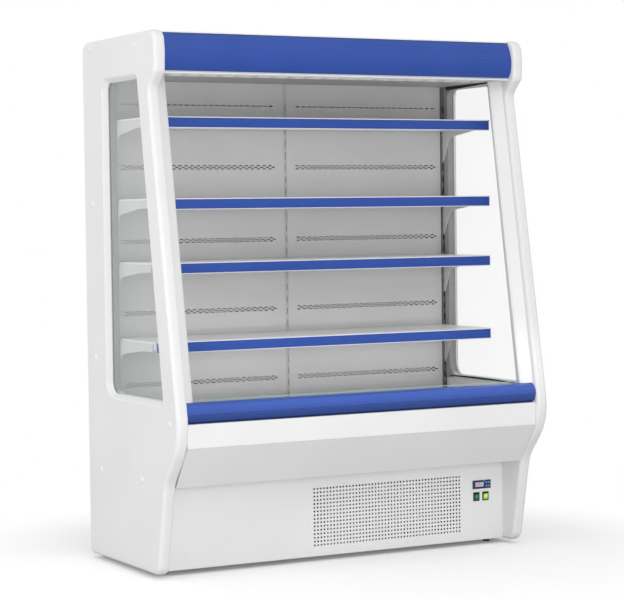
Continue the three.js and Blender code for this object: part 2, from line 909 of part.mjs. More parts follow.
// panel that slopes back under the band, with a level return to the plinth
function slopingFrontPanel() {
  const run = bandFaceDepth - apronBottomDepth;
  const rise = bandBottom - apronBottom;
  const wall = sheet * Math.hypot(run, rise) / rise;
  return barAlongX([
    [bandFaceDepth, bandBottom],
    [apronBottomDepth, apronBottom],
    [plinthDepth - 20, apronBottom],
    [plinthDepth - 20, apronBottom + sheet],
    [apronBottomDepth - wall / 2, apronBottom + sheet],
    [bandFaceDepth - wall, bandBottom],
  ], -fittedHalf, fittedHalf);
}

function plinthPanel() {
  const top = apronBottom - gap;
  const grille = evenly(grilleLeft, grilleRight, grilleColumns).flatMap((x) => evenly(
    grilleBottom,
    grilleTop,
    grilleRows,
  ).map((z) => roundHole(x, z, grilleHole, plinthDepth, 4)));
  const cutouts = [
    oblong(controllerX, controllerZ, controllerSize[0] - 8, controllerSize[1] - 6, plinthDepth),
    ...switchX.map((x) => oblong(x, switchZ, switchFrame[0] - 3, switchFrame[1] - 3, plinthDepth)),
  ];
  const rangeX = [-fittedHalf, fittedHalf];
  const face = platePierced(rangeX, [plinthBottom, top], plinthDepth, sheet, [...grille, ...cutouts]);
  const returns = [[plinthBottom, plinthBottom + sheet], [top - sheet, top]].map((heights) => block(
    rangeX,
    [plinthDepth - plinthReturn, plinthDepth - sheet / 2],
    heights,
  ));
  return join(face, ...returns);
}

// panel controller: thin bezel with a sunk display, and the body behind the sheet
function controller() {
  const [width, height] = controllerSize;
  const bezel = block(
    [controllerX - width / 2, controllerX + width / 2],
    [plinthDepth + gap, plinthDepth + gap + controllerProud],
    [controllerZ - height / 2, controllerZ + height / 2],
  );
  const body = block(
    [controllerX - width / 2 + 4 + gap, controllerX + width / 2 - 4 - gap],
    [plinthDepth - controllerBody, plinthDepth + gap + 1],
    [controllerZ - height / 2 + 3 + gap, controllerZ + height / 2 - 3 - gap],
  );
  const display = block(
    [controllerX - width * 0.38, controllerX + width * 0.12],
    [plinthDepth + gap + controllerProud - 0.8, plinthDepth + gap + controllerProud + 1],
    [controllerZ - height * 0.28, controllerZ + height * 0.28],
  );
  return cut(join(bezel, body), display);
}

function switchHousing(x) {
  const [width, height] = switchFrame;
  const [openWidth, openHeight] = switchWindow;
  const flange = block(
    [x - width / 2, x + width / 2],
    [plinthDepth + gap, plinthDepth + gap + switchProud],
    [switchZ - height / 2, switchZ + height / 2],
  );
  const body = block(
    [x - width / 2 + 1.5 + gap, x + width / 2 - 1.5 - gap],
    [plinthDepth - switchBody, plinthDepth + gap + 1],
    [switchZ - height / 2 + 1.5 + gap, switchZ + height / 2 - 1.5 - gap],
  );
  const well = block(
    [x - openWidth / 2, x + openWidth / 2],
    [plinthDepth - switchBody + 3, plinthDepth + switchProud + 5],
    [switchZ - openHeight / 2, switchZ + openHeight / 2],
  );
  return cut(join(flange, body), well);
}

// rocker about its own pivot at the origin: a shallow V face and a round back
function rockerKey() {
  const half = switchWindow[1] / 2 - 1.6;
  const rise = half * Math.tan(THREE.MathUtils.degToRad(rockerTilt));
  const face = switchProud + rockerPivotBack + 1.2;
  const back = Array.from({ length: 7 }, (unused, index) => {
    const angle = Math.PI * index / 6;
    return new THREE.Vector2(rockerRadius * Math.sin(angle) * 0.8, -rockerRadius * Math.cos(angle));
  });
  const outline = [
    new THREE.Vector2(-face - rise, -half),
    ...back,
    new THREE.Vector2(-face - rise, half),
    new THREE.Vector2(-face, 0),
  ];
  const width = switchWindow[0] / 2 - 0.5;
  return loft([-width, width].map((x) => outline.map((point) => new THREE.Vector3(x, point.x, point.y))));
}

// ---------------------------------------------------------------- machine compartment

const footPlaces = [['front', frontFootDepth], ['rear', rearFootDepth]].flatMap(([end, depth]) => (
  sides.map(([label, side]) => ({ label: `${end}_${label}`, end, depth, x: side * footX }))
));

// folded base tray with corner posts that carry the tub, and a boss for each foot
function baseFrame() {
  const low = footHeight + 1;
  const high = low + chassisHeight;
  const tray = cut(
    block([-fittedHalf, fittedHalf], [chassisRear, chassisFront - plinthReturn], [low, high]),
    block(
      [-fittedHalf + 2, fittedHalf - 2],
      [chassisRear + 2, chassisFront - plinthReturn - 2],
      [low + 2, high + 5],
    ),
  );
  const posts = footPlaces.map(({ x, end }) => block(
    [Math.sign(x) * (fittedHalf - 2.5), Math.sign(x) * (fittedHalf - chassisPost)],
    end === 'front'
      ? [chassisFront - plinthReturn - chassisPost, chassisFront - plinthReturn - 1]
      : [chassisRear + 1, chassisRear + chassisPost],
    [low + 1, tubBottom - gap],
  ));
  const bosses = footPlaces.map(({ x, depth }) => rod('z', footBoss / 2, low, high, [x, atDepth(depth)], 12));
  const holes = footPlaces.map(({ x, depth }) => rod(
    'z', footStem / 2 + gap, low - 5, high + 5, [x, atDepth(depth)], 12,
  ));
  return cut(join(tray, ...posts, ...bosses), ...holes);
}

function levellingFoot({ x, depth }) {
  const pad = footPad / 2;
  const stem = footStem / 2;
  const profile = [[0, 0], [pad - 1.5, 0], [pad, 1.5], [pad - 2, footPadHeight - 2], [pad - 5, footPadHeight],
    [stem, footPadHeight], [stem, footStemTop], [0, footStemTop]];
  const geometry = new THREE.LatheGeometry(profile.map((point) => new THREE.Vector2(...point)), 12);
  return geometry.rotateX(Math.PI / 2).translate(x, atDepth(depth), 0);
}

// hermetic compressor: a domed can on a base plate, with suction and discharge stubs
function compressor() {
  const radius = compressorDiameter / 2;
  const floor = footHeight + 3 + gap;
  const can = [[0, 14], [radius - 22, 14], [radius - 6, 30], [radius, 60], [radius, 120], [radius - 8, 165],
    [radius - 35, 195], [0, compressorHeight]];
  const shell = new THREE.LatheGeometry(can.map((point) => new THREE.Vector2(...point)), 20)
    .rotateX(Math.PI / 2).translate(compressorX, atDepth(compressorDepth), floor);
  const plate = block(
    [compressorX - radius - 10, compressorX + radius + 10],
    [compressorDepth - radius + 15, compressorDepth + radius - 15],
    [floor, floor + 16],
  );
  const stubStart = compressorX + radius - 12;
  const stubs = [60, 110].map((height) => rod(
    'x', 6, stubStart, stubStart + 50, [atDepth(compressorDepth), floor + height], 8,
  ));
  return join(shell, plate, ...stubs);
}

// finned core between two end plates, a shroud with a round throat, and the fan motor on its arms
function condenser() {
  const floor = footHeight + 3 + gap;
  const left = condenserX - condenserWidth / 2;
  const right = condenserX + condenserWidth / 2;
  const top = floor + condenserHeight;
  const coreRear = condenserFront - condenserCore;
  const shroudRear = coreRear - 60;
  const fanZ = floor + condenserHeight / 2;
  const throat = condenserFanDiameter / 2 + 6;
  const core = cut(
    block([left, right], [coreRear, condenserFront], [floor, top]),
    ...evenly(left + 28, right - 28, condenserFins).map((x) => block(
      [x - 12, x + 12], [condenserFront - 22, condenserFront + 5], [floor + 18, top - 18],
    )),
  );
  const shroud = cut(
    block([left, right], [shroudRear, coreRear + 1], [floor, top]),
    block([left + 3, right - 3], [shroudRear + 3, coreRear + 0.5], [floor + 3, top - 3]),
    rod('y', throat, atDepth(shroudRear + 5), atDepth(shroudRear - 5), [condenserX, fanZ], 24),
  );
  const motor = fanMotor(condenserX, fanZ, shroudRear - 22);
  const arms = [-1, 1].map((side) => block(
    [condenserX + side * 20, condenserX + side * (condenserFanDiameter / 2 + 12)],
    [shroudRear - 34, shroudRear - 26],
    [fanZ - 5, fanZ + 5],
  ));
  const stays = [-1, 1].map((side) => block(
    [condenserX + side * (condenserFanDiameter / 2 + 8), condenserX + side * (condenserFanDiameter / 2 + 16)],
    [shroudRear - 34, shroudRear + 1],
    [fanZ - 5, fanZ + 5],
  ));
  return join(core, shroud, motor, ...arms, ...stays);
}

// motor can behind the fan with its shaft pointing forward; frontDepth is the can's front
function fanMotor(x, z, frontDepth) {
  return join(
    rod('y', motorRadius, atDepth(frontDepth), atDepth(frontDepth - 34), [x, z], 16),
    rod('y', motorShaftRadius, atDepth(frontDepth + fanHubLength - 4), atDepth(frontDepth - 5), [x, z], 12),
  );
}

// fan at its own centre, turning about Y: a hub with a blind bore and pitched blades
function fan(diameter, hubRadius) {
  const half = fanHubLength / 2;
  const hub = rod('y', hubRadius, -half, half, [0, 0], 20);
  const bore = rod('y', motorShaftRadius + gap, -half + 3, half + 5, [0, 0], 12);
  const blades = Array.from({ length: fanBlades }, (unused, index) => {
    const length = diameter / 2 - hubRadius + 3;
    const blade = new THREE.BoxGeometry(diameter * 0.26, fanBladeThickness, length);
    blade.rotateZ(THREE.MathUtils.degToRad(28));
    blade.translate(0, 0, hubRadius - 3 + length / 2);
    return blade.rotateY(2 * Math.PI * index / fanBlades);
  });
  return cut(join(hub, ...blades), bore);
}

const condenserFanPlace = () => {
  const shroudRear = condenserFront - condenserCore - 60;
  const motorFront = shroudRear - 22;
  return [condenserX, atDepth(motorFront + 2 + fanHubLength / 2), footHeight + 3 + gap + condenserHeight / 2];
};

const evaporatorFanZ = tubFloor + 70;

// finned coil on the tub's floor with the fan plate in front of it
function evaporator() {
  const floor = tubFloor + gap;
  const half = evaporatorLength / 2;
  const coil = cut(
    block(
      [-half, half],
      [evaporatorRear, evaporatorRear + evaporatorDepth],
      [floor, floor + evaporatorHeight],
    ),
    ...evenly(-half + 45, half - 45, evaporatorFins).map((x) => block(
      [x - 18, x + 18], [evaporatorRear - 5, evaporatorRear + evaporatorDepth + 5],
      [floor + 14, floor + evaporatorHeight + 5],
    )),
  );
  const plateTop = deckHeight - sheet - gap;
  const plateRange = [-fittedHalf + 6, fittedHalf - 6];
  const plate = cut(
    block(plateRange, [fanPlateDepth, fanPlateDepth + sheet], [floor, plateTop]),
    rod('y', evaporatorFanDiameter / 2 + 6, atDepth(fanPlateDepth + 8), atDepth(fanPlateDepth - 8),
      [evaporatorX, evaporatorFanZ], 20),
  );
  const flange = block(plateRange, [fanPlateDepth, fanPlateDepth + 44], [plateTop - sheet, plateTop]);
  const ties = [-1, 1].map((side) => block(
    [side * (half - 30), side * (half - 18)],
    [evaporatorRear + evaporatorDepth - 2, fanPlateDepth + 1],
    [floor, floor + 8],
  ));
  const motor = fanMotor(evaporatorX, evaporatorFanZ, fanPlateDepth - 26);
  const arm = block([evaporatorX - 5, evaporatorX + 5], [fanPlateDepth - 50, fanPlateDepth - 40],
    [floor, evaporatorFanZ]);
  const foot = block(
    [evaporatorX - 5, evaporatorX + 5],
    [fanPlateDepth - 50, fanPlateDepth + 1],
    [floor, floor + 8],
  );
  return join(coil, plate, flange, ...ties, motor, arm, foot);
}

// back cover of the machine compartment, louvred for the condenser's air
function rearCover() {
  const depth = wallDepthFromBack + sheet + 2;
  const slots = evenly(-louvreSpan / 2, louvreSpan / 2, louvreColumns)
    .flatMap((x) => louvreHeights.map((z) => oblong(x, z, ...louvreSize, depth)));
  return platePierced(
    [-fittedHalf, fittedHalf],
    [footHeight + 3, tubBottom - gap],
    depth,
    sheet,
    slots,
  );
}

// ---------------------------------------------------------------- assembly

sides.forEach(([label, side]) => {
  add(`${label}_end_panel`, endPanel(side), whiteMoulding);
  add(`${label}_side_glass`, sideGlass(side), clearGlass);
  add(`${label}_window_frame`, windowFrame(side), whitePaint);
  add(`${label}_rear_panel`, rearPanel(side), linerPaint);
  const uprightX = side * sideUprightX;
  const sideUpright = upright(uprightX, uprightWidth, sideUprightFront, uprightRear, slotStart - 20);
  add(`${label}_upright`, sideUpright, steelZinc);
});

add('centre_upright', upright(
  0,
  centreUprightWidth,
  rearPanelDepth,
  uprightRear,
  slotStart - 20,
), steelZinc);

add('rear_wall', rearWall(), foamShell);
add('roof_panel', roofPanel(), foamShell);
add('base_tub', baseTub(), foamShell);
add('ceiling_panel', ceilingPanel(), linerPaint);
add('air_outlet_grille', airGrille(
  fittedHalf,
  [outletRear, outletFront],
  [ceilingHeight, ceilingHeight + outletHeight],
  outletSlots,
  4,
), whitePaint);
add('canopy_fascia', canopyFascia(), bluePlastic);
add('canopy_carrier', canopyCarrier(), whitePaint);
add('lamp_batten', lampBatten(), whitePaint);
add('lamp_tube', lampTube(), lampGlass);

shelfHeights.forEach((level, index) => {
  const number = index + 1;
  const tier = new THREE.Group();
  tier.position.z = level;
  cabinet.add(tier);
  add(`shelf_${number}`, shelfPan(), whitePaint, tier);
  add(`ticket_strip_${number}`, ticketStrip(), bluePlastic, tier);
  sides.forEach(([label, side]) => add(`${label}_bracket_${number}`, bracket(side, level), whitePaint, tier));
});

sides.forEach(([label, side]) => add(`${label}_deck_tray`, deckTray(side), whitePaint));

add('air_return_grille', airGrille(
  fittedHalf - 2,
  [deckFront + gap, tubFrontInner - gap],
  [deckHeight - sheet, deckHeight + 8],
  returnSlots,
  4,
), whitePaint);

add('glass_riser', glassRiser(), clearGlass);
add('bumper_rail', bumperRail(), bluePlastic);
add('upper_front_panel', upperFrontPanel(), whitePaint);
add('sloping_front_panel', slopingFrontPanel(), greyPaint);
add('plinth_panel', plinthPanel(), whitePaint);
add('controller', controller(), blackPlastic);

switchX.forEach((x, index) => {
  add(`switch_housing_${index + 1}`, switchHousing(x), blackPlastic);
  const rocker = add(`switch_rocker_${index + 1}`, rockerKey(), index ? litGreen : darkGreen);
  rocker.position.set(x, atDepth(plinthDepth - rockerPivotBack), switchZ);
  rocker.rotation.x = THREE.MathUtils.degToRad(rockerTilt);
});

add('base_frame', baseFrame(), galvanised);
add('rear_cover', rearCover(), galvanised);
add('compressor', compressor(), blackPlastic);
add('condenser', condenser(), aluminiumFin);
add('condenser_fan', fan(condenserFanDiameter, fanHubRadius), blackPlastic)
  .position.set(...condenserFanPlace());
add('evaporator', evaporator(), aluminiumFin);
add('evaporator_fan', fan(evaporatorFanDiameter, fanHubRadius * 0.6), blackPlastic)
  .position.set(evaporatorX, atDepth(fanPlateDepth - 26 + 2 + fanHubLength / 2), evaporatorFanZ);
footPlaces.forEach((place) => add(`foot_${place.label}`, levellingFoot(place), blackPlastic));

export default cabinet;
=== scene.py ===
import json
import math

import bmesh
import bpy
from mathutils import Matrix, Vector, geometry


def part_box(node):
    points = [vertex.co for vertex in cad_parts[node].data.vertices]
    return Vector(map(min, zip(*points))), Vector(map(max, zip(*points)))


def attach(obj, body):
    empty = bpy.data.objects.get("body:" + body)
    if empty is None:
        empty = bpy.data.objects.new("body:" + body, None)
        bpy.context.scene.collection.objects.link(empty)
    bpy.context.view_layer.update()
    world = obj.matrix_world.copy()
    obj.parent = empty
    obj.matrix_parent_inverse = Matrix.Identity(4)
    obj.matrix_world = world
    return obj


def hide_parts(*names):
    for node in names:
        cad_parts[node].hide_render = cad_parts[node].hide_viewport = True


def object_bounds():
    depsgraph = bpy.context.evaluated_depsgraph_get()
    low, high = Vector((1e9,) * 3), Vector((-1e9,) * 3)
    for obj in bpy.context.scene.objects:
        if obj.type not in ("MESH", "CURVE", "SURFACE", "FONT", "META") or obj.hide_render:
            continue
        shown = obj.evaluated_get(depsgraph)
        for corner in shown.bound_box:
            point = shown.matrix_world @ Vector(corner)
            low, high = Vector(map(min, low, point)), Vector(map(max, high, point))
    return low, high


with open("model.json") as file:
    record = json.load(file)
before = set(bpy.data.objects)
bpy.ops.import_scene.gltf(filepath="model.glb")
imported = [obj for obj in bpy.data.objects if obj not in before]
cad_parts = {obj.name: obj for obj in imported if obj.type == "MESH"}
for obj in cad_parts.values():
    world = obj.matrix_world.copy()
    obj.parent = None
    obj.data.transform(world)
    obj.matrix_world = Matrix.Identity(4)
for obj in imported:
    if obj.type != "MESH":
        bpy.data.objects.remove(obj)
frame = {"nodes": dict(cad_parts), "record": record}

cabinetLow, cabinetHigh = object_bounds()
backY = cabinetHigh[1]
mm = 0.001
weldDistance = 0.00002  # points nearer to each other than this become one

record = frame["record"]
slotOf = {part["node"]: part["material_slot"] for part in record["subparts"]}
bodyOf = {node: body for body, nodes in record["behaviour"]["bodies"].items() for node in nodes}

# What several pieces share: millimetres, with depths measured forward from the cabinet's back.
cabinet = {
    "depth": backY * 2 / mm,
    "ceiling": 1741.0,
    "tubRim": 548.0,
    "plinthFace": 549.0,
    "rearPanelFace": 161.0,
    "railLength": 1411.0,
    "shelfTops": (1598.0, 1313.0, 1088.0, 812.0),
}


def placed(x, depth, z):
    return Vector((x * mm, backY - depth * mm, z * mm))


# The camera was solved from the photograph's straight edges.
view = {
    "imageWidth": 624,
    "focalPixels": 2072.9,
    "place": (-3.6259, -6.6956, 1.2511),
    "azimuth": 28.306,
    "pitch": 2.3696,
    "roll": -0.7513,
}


def makeCamera():
    azimuth, pitch, roll = (math.radians(view[key]) for key in ("azimuth", "pitch", "roll"))
    forward = Vector((
        math.sin(azimuth) * math.cos(pitch),
        math.cos(azimuth) * math.cos(pitch),
        -math.sin(pitch),
    ))
    right = Vector((math.cos(azimuth), -math.sin(azimuth), 0))
    up = right.cross(forward)
    turnedRight = math.cos(roll) * right + math.sin(roll) * up
    turnedUp = math.cos(roll) * up - math.sin(roll) * right
    axes = Matrix((turnedRight, turnedUp, -forward)).transposed().to_4x4()
    data = bpy.data.cameras.new("photoView")
    data.sensor_width = 36
    data.lens = view["focalPixels"] / view["imageWidth"] * data.sensor_width
    data.clip_end = 200
    camera = bpy.data.objects.new("photoView", data)
    bpy.context.scene.collection.objects.link(camera)
    camera.matrix_world = Matrix.Translation(view["place"]) @ axes
    bpy.context.scene.camera = camera


def plug(tree, value, socket):
    if isinstance(value, Wire):
        tree.links.new(value.socket, socket)
    else:
        socket.default_value = value


def opaque(value):
    return value if isinstance(value, Wire) else (*value[:3], 1)


class Wire:  # one socket of a node tree, with arithmetic
    def __init__(self, tree, socket):
        self.tree = tree
        self.socket = socket

    def node(self, kind, settings=None, inputs=None, output=0):
        made = self.tree.nodes.new(kind)
        for key, value in (settings or {}).items():
            setattr(made, key, value)
        for key, value in (inputs or {}).items():
            for one in value if isinstance(value, list) else [value]:
                plug(self.tree, one, made.inputs[key])
        return Wire(self.tree, made.outputs[output])

    def maths(self, operation, first, second):
        return self.node("ShaderNodeMath", {"operation": operation}, {0: first, 1: second})

    def __add__(self, other):
        return self.maths("ADD", self, other)

    def __radd__(self, other):
        return self.maths("ADD", other, self)

    def __sub__(self, other):
        return self.maths("SUBTRACT", self, other)

    def __rsub__(self, other):
        return self.maths("SUBTRACT", other, self)

    def __mul__(self, other):
        return self.maths("MULTIPLY", self, other)

    def __rmul__(self, other):
        return self.maths("MULTIPLY", other, self)

    def __truediv__(self, other):
        return self.maths("DIVIDE", self, other)

    def __rtruediv__(self, other):
        return self.maths("DIVIDE", other, self)

    def axis(self, name):
        return self.node("ShaderNodeSeparateXYZ", None, {0: self}, "XYZ".index(name))

    def stretched(self, scale):
        return self.node("ShaderNodeVectorMath", {"operation": "MULTIPLY"}, {0: self, 1: scale})

    def noise(self, scale, detail=2.0, roughness=0.5):
        inputs = {"Vector": self, "Scale": scale, "Detail": detail, "Roughness": roughness}
        return self.node("ShaderNodeTexNoise", None, inputs)

    def between(self, low, high, to=(0.0, 1.0)):
        inputs = {"Value": self, "From Min": low, "From Max": high, "To Min": to[0], "To Max": to[1]}
        return self.node("ShaderNodeMapRange", {"interpolation_type": "SMOOTHSTEP"}, inputs)

    def mixed(self, first, second):
        inputs = {0: self, 6: opaque(first), 7: opaque(second)}
        return self.node("ShaderNodeMix", {"data_type": "RGBA"}, inputs, 2)


def newMaterial(name):
    made = bpy.data.materials.new(name)
    made.use_nodes = True
    tree = made.node_tree
    tree.nodes.clear()
    place = tree.nodes.new("ShaderNodeTexCoord")
    return made, Wire(tree, place.outputs["Object"])


def closeMaterial(place, inputs):
    surface = place.node("ShaderNodeBsdfPrincipled", None, inputs)
    end = place.tree.nodes.new("ShaderNodeOutputMaterial")
    plug(place.tree, surface, end.inputs["Surface"])


def bumps(place, height, distance, strength=1.0, under=None):
    inputs = {"Height": height, "Distance": distance, "Strength": strength}
    if under:
        inputs["Normal"] = under
    return place.node("ShaderNodeBump", None, inputs)


def shaded(tone, share):
    return [min(1.0, channel * share) for channel in tone]


# powder coat and moulded skins: orange peel over slow unevenness, and scuffs near the floor
def coated(name, tone, look):
    made, place = newMaterial(name)
    cloud = place.noise(2.6, 3.0)
    dullTone = shaded(tone, 1 - look.get("uneven", 0.02))
    cleanTone = cloud.between(0.3, 0.7).mixed(dullTone, shaded(tone, 1.012))
    # painted shade: a darker band towards the cabinet's back, standing for the shade in the frame's rear
    # reveal
    if "rearBand" in look:  # a darker band towards the cabinet's back
        edge = backY - look["rearBand"] * mm
        band = place.axis("Y").between(edge - look["rearShadeFade"] * mm, edge)
        cleanTone = band.mixed(cleanTone, shaded(tone, look["rearShadeShare"]))
    marks = place.stretched((9.0, 9.0, 46.0)).noise(3.0, 5.0, 0.7).between(0.6, 0.74)
    worn = marks * place.axis("Z").between(0.02, 0.24, (look.get("scuffs", 0.0), 0.0))
    peel = place.noise(look.get("peelScale", 460.0), 2.0)
    settled = bumps(place, place.noise(9.0, 1.0), 0.0006, 0.35)
    roughness = look["roughness"]
    closeMaterial(place, {
        "Base Color": worn.mixed(cleanTone, shaded(tone, 0.62)),
        "Roughness": cloud.between(0.3, 0.7, (roughness - 0.03, roughness + 0.05)) + worn * 0.2,
        "Normal": bumps(place, peel, look.get("peelDepth", 0.00006), 0.5, settled),
        "Coat Weight": look.get("coat", 0.0),
        "Coat Roughness": 0.14,
        "Specular IOR Level": look.get("specular", 0.5),
    })
    return made


# extruded plastic: glossy, with faint draw lines along its length and a dusting of fine dents
def drawn(name, tone, look):
    made, place = newMaterial(name)
    lines = place.stretched((1.2, 260.0, 260.0)).noise(2.0, 4.0, 0.6)
    cloud = place.noise(5.0, 2.0)
    fine = place.noise(700.0, 2.0)
    base = cloud.between(0.3, 0.7).mixed(shaded(tone, 0.94), shaded(tone, 1.05))
    base = lines.between(0.35, 0.7).mixed(base, shaded(tone, 1.03))
    # painted shade towards the lower edge and painted light at the top, mixed into the tone by height
    if "heights" in look:  # shaded towards its lower edge, a little paler at the top
        rise = place.axis("Z").between(*[height * mm for height in look["heights"]])
        base = rise.mixed(shaded(tone, look["lowShadeShare"]), shaded(tone, look["topLightShare"]))
    closeMaterial(place, {
        "Base Color": base,
        "Roughness": lines.between(0.3, 0.7, (look["roughness"] - 0.05, look["roughness"] + 0.06)),
        "Normal": bumps(place, fine, 0.00003, 0.4, bumps(place, lines, 0.00006, 0.3)),
        "Specular IOR Level": look.get("specular", 0.26),
        "Coat Weight": look.get("coat", 0.0),
        "Coat Roughness": 0.1,
    })
    return made


# grained black mouldings and rubber
def grained(name, tone, look):
    made, place = newMaterial(name)
    cells = place.node("ShaderNodeTexVoronoi", {"feature": "F1"}, {"Vector": place, "Scale": look["grain"]})
    dust = place.noise(34.0, 5.0, 0.7).between(0.45, 0.75)
    closeMaterial(place, {
        "Base Color": (dust * look.get("dust", 0.35)).mixed(tone, [channel + 0.05 for channel in tone]),
        "Roughness": dust.between(0.0, 1.0, (look["roughness"], look["roughness"] + 0.16)),
        "Normal": bumps(place, cells, look.get("grainDepth", 0.0001), 0.6),
        "Specular IOR Level": 0.4,
    })
    return made


# sheet metal: rolling marks, and zinc spangle where the look asks for it
def rolled(name, tone, look):
    made, place = newMaterial(name)
    streaks = place.stretched(look["along"]).noise(2.0, 5.0, 0.65)
    flakes = place.node("ShaderNodeTexVoronoi", {"feature": "F1"}, {"Vector": place, "Scale": 70.0}, 1)
    flakeTone = flakes.axis("X").between(0.0, 1.0, (1 - look["spangle"], 1.0))
    base = streaks.between(0.3, 0.7).mixed(shaded(tone, 0.88), shaded(tone, 1.08))
    closeMaterial(place, {
        "Base Color": flakeTone.mixed(shaded(tone, 0.7), base),
        "Metallic": look["metallic"],
        "Roughness": streaks.between(0.25, 0.75, (look["roughness"] - 0.07, look["roughness"] + 0.1)),
        "Normal": bumps(place, streaks, 0.00008, 0.5),
    })
    return made


# clear pane: see-through, a little more mirror-like at a glancing angle, with faint wiping marks
def clearPane(name, tone, look):
    made, place = newMaterial(name)
    glance = place.node("ShaderNodeLayerWeight", None, {"Blend": 0.5}, "Facing")
    wipes = place.stretched((3.0, 3.0, 14.0)).noise(3.0, 4.0, 0.6).between(0.5, 0.8)
    closeMaterial(place, {
        "Base Color": wipes.mixed(tone, shaded(tone, 1.04)),
        "Roughness": wipes.between(0.0, 1.0, (0.03, 0.1)),
        "Alpha": glance * glance * glance * look["mirror"] + wipes * 0.01 + look["veil"],
        "IOR": 1.45,
    })
    return made


# key or digit with a lamp behind it: darker towards its edges, brighter in the middle
def keyLens(name, edgeTone, middleTone, look):
    made, place = newMaterial(name)
    side = place.node("ShaderNodeVectorMath", {"operation": "DISTANCE"}, {0: place, 1: look["middle"]}, 1)
    glow = side.between(0.002, look["reach"], (1.0, 0.0))
    speckle = place.noise(900.0, 1.0)
    closeMaterial(place, {
        "Base Color": glow.mixed(edgeTone, middleTone),
        "Roughness": speckle.between(0.2, 0.8, (0.16, 0.28)),
        "Emission Color": glow.mixed(edgeTone, middleTone),
        "Emission Strength": look["lit"],
        "Normal": bumps(place, speckle, 0.00004, 0.3),
    })
    return made


studio = bpy.context.scene.collection


def meshOf(name, points, faces):
    mesh = bpy.data.meshes.new(name)
    mesh.from_pydata([tuple(point) for point in points], [], [tuple(face) for face in faces])
    return mesh


def gathered(name, meshes):
    shape = bmesh.new()
    for one in meshes:
        shape.from_mesh(one)
    mesh = bpy.data.meshes.new(name)
    shape.to_mesh(mesh)
    shape.free()
    return mesh


def smoothed(mesh, angle):
    mesh.shade_smooth()
    mesh.set_sharp_from_angle(angle=math.radians(angle))
    return mesh


def tidied(mesh, angle=32.0, outward=None):
    shape = bmesh.new()
    shape.from_mesh(mesh)
    bmesh.ops.remove_doubles(shape, verts=shape.verts, dist=weldDistance)
    if outward:  # an open sheet: every face is turned the way that outward() says
        wrong = [face for face in shape.faces if face.normal.dot(outward(face.calc_center_median())) < 0]
        bmesh.ops.reverse_faces(shape, faces=wrong)
    else:
        bmesh.ops.recalc_face_normals(shape, faces=shape.faces)
    shape.to_mesh(mesh)
    shape.free()
    return smoothed(mesh, angle)


def evaluated(holder):
    made = bpy.data.meshes.new_from_object(holder.evaluated_get(bpy.context.evaluated_depsgraph_get()))
    bpy.data.objects.remove(holder)
    return made


def baked(name, mesh, stages):
    holder = bpy.data.objects.new(name, mesh)
    studio.objects.link(holder)
    for kind, settings in stages:
        stage = holder.modifiers.new(kind.lower(), kind)
        for key, value in settings.items():
            setattr(stage, key, value)
    return evaluated(holder)


def softened(width, steps=2, angle=32.0):
    bevel = {
        "width": width * mm,
        "segments": steps,
        "limit_method": "ANGLE",
        "angle_limit": math.radians(angle),
        "miter_outer": "MITER_ARC",
        "harden_normals": False,
    }
    return [("BEVEL", bevel), ("WEIGHTED_NORMAL", {"keep_sharp": True, "weight": 60})]


evened = [("WEIGHTED_NORMAL", {"keep_sharp": True, "weight": 70})]


def show(name, mesh, body, slot, finish=None, stands=()):
    piece = bpy.data.objects.new(name, mesh)
    studio.objects.link(piece)
    mesh.materials.clear()
    mesh.materials.append(finish or materials[slot])
    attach(piece, body)
    if stands:
        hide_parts(*stands)


mergeLook = {"flatAngle": 0.6, "areaShare": 1.002, "areaSlack": 2e-6}


def covered(mesh):  # whether the triangles of each face cover just that face
    mesh.calc_loop_triangles()
    areas = [0.0] * len(mesh.polygons)
    for triangle in mesh.loop_triangles:
        areas[triangle.polygon_index] += triangle.area
    share, slack = mergeLook["areaShare"], mergeLook["areaSlack"]
    return all(area <= face.area * share + slack for area, face in zip(areas, mesh.polygons))


def roundedCopy(node, stages, angle, merged):
    shape = bmesh.new()
    shape.from_mesh(frame["nodes"][node].data)
    bmesh.ops.remove_doubles(shape, verts=shape.verts, dist=weldDistance)
    bmesh.ops.recalc_face_normals(shape, faces=shape.faces)
    if merged:
        flat = math.radians(mergeLook["flatAngle"])
        bmesh.ops.dissolve_limit(shape, angle_limit=flat, verts=shape.verts, edges=shape.edges)
    mesh = bpy.data.meshes.new(node)
    shape.to_mesh(mesh)
    shape.free()
    return baked(node, smoothed(mesh, angle), stages)


# a finer copy of one CAD part: its edges rounded, its triangles merged where the merged faces stay sound
def refine(node, width=0.8, steps=2, angle=32.0, finish=None):
    stages = softened(width, steps, angle) if width else evened
    mesh = roundedCopy(node, stages, angle, True)
    if not covered(mesh):
        mesh = roundedCopy(node, stages, angle, False)
    words = node.split("_")
    name = words[0] + "".join(word.capitalize() for word in words[1:]) + "Finished"
    show(name, mesh, bodyOf[node], slotOf[node], finish, (node,))


def newForm(name, inputs):
    tree = bpy.data.node_groups.new(name, "GeometryNodeTree")
    tree.interface.new_socket(name="Seed", in_out="INPUT", socket_type="NodeSocketGeometry")
    for label, kind in inputs.items():
        tree.interface.new_socket(name=label, in_out="INPUT", socket_type="NodeSocket" + kind)
    tree.interface.new_socket(name="Shape", in_out="OUTPUT", socket_type="NodeSocketGeometry")
    entry = tree.nodes.new("NodeGroupInput")
    return tree, {socket.name: Wire(tree, socket) for socket in entry.outputs if socket.name}


def closeForm(shape, finish):
    whole = shape.node("GeometryNodeRealizeInstances", None, {"Geometry": shape})
    welded = whole.node("GeometryNodeMergeByDistance", None, {"Geometry": whole, "Distance": weldDistance})
    dressed = whole.node("GeometryNodeSetMaterial", None, {"Geometry": welded, "Material": finish})
    end = shape.tree.nodes.new("NodeGroupOutput")
    plug(shape.tree, dressed, end.inputs["Shape"])


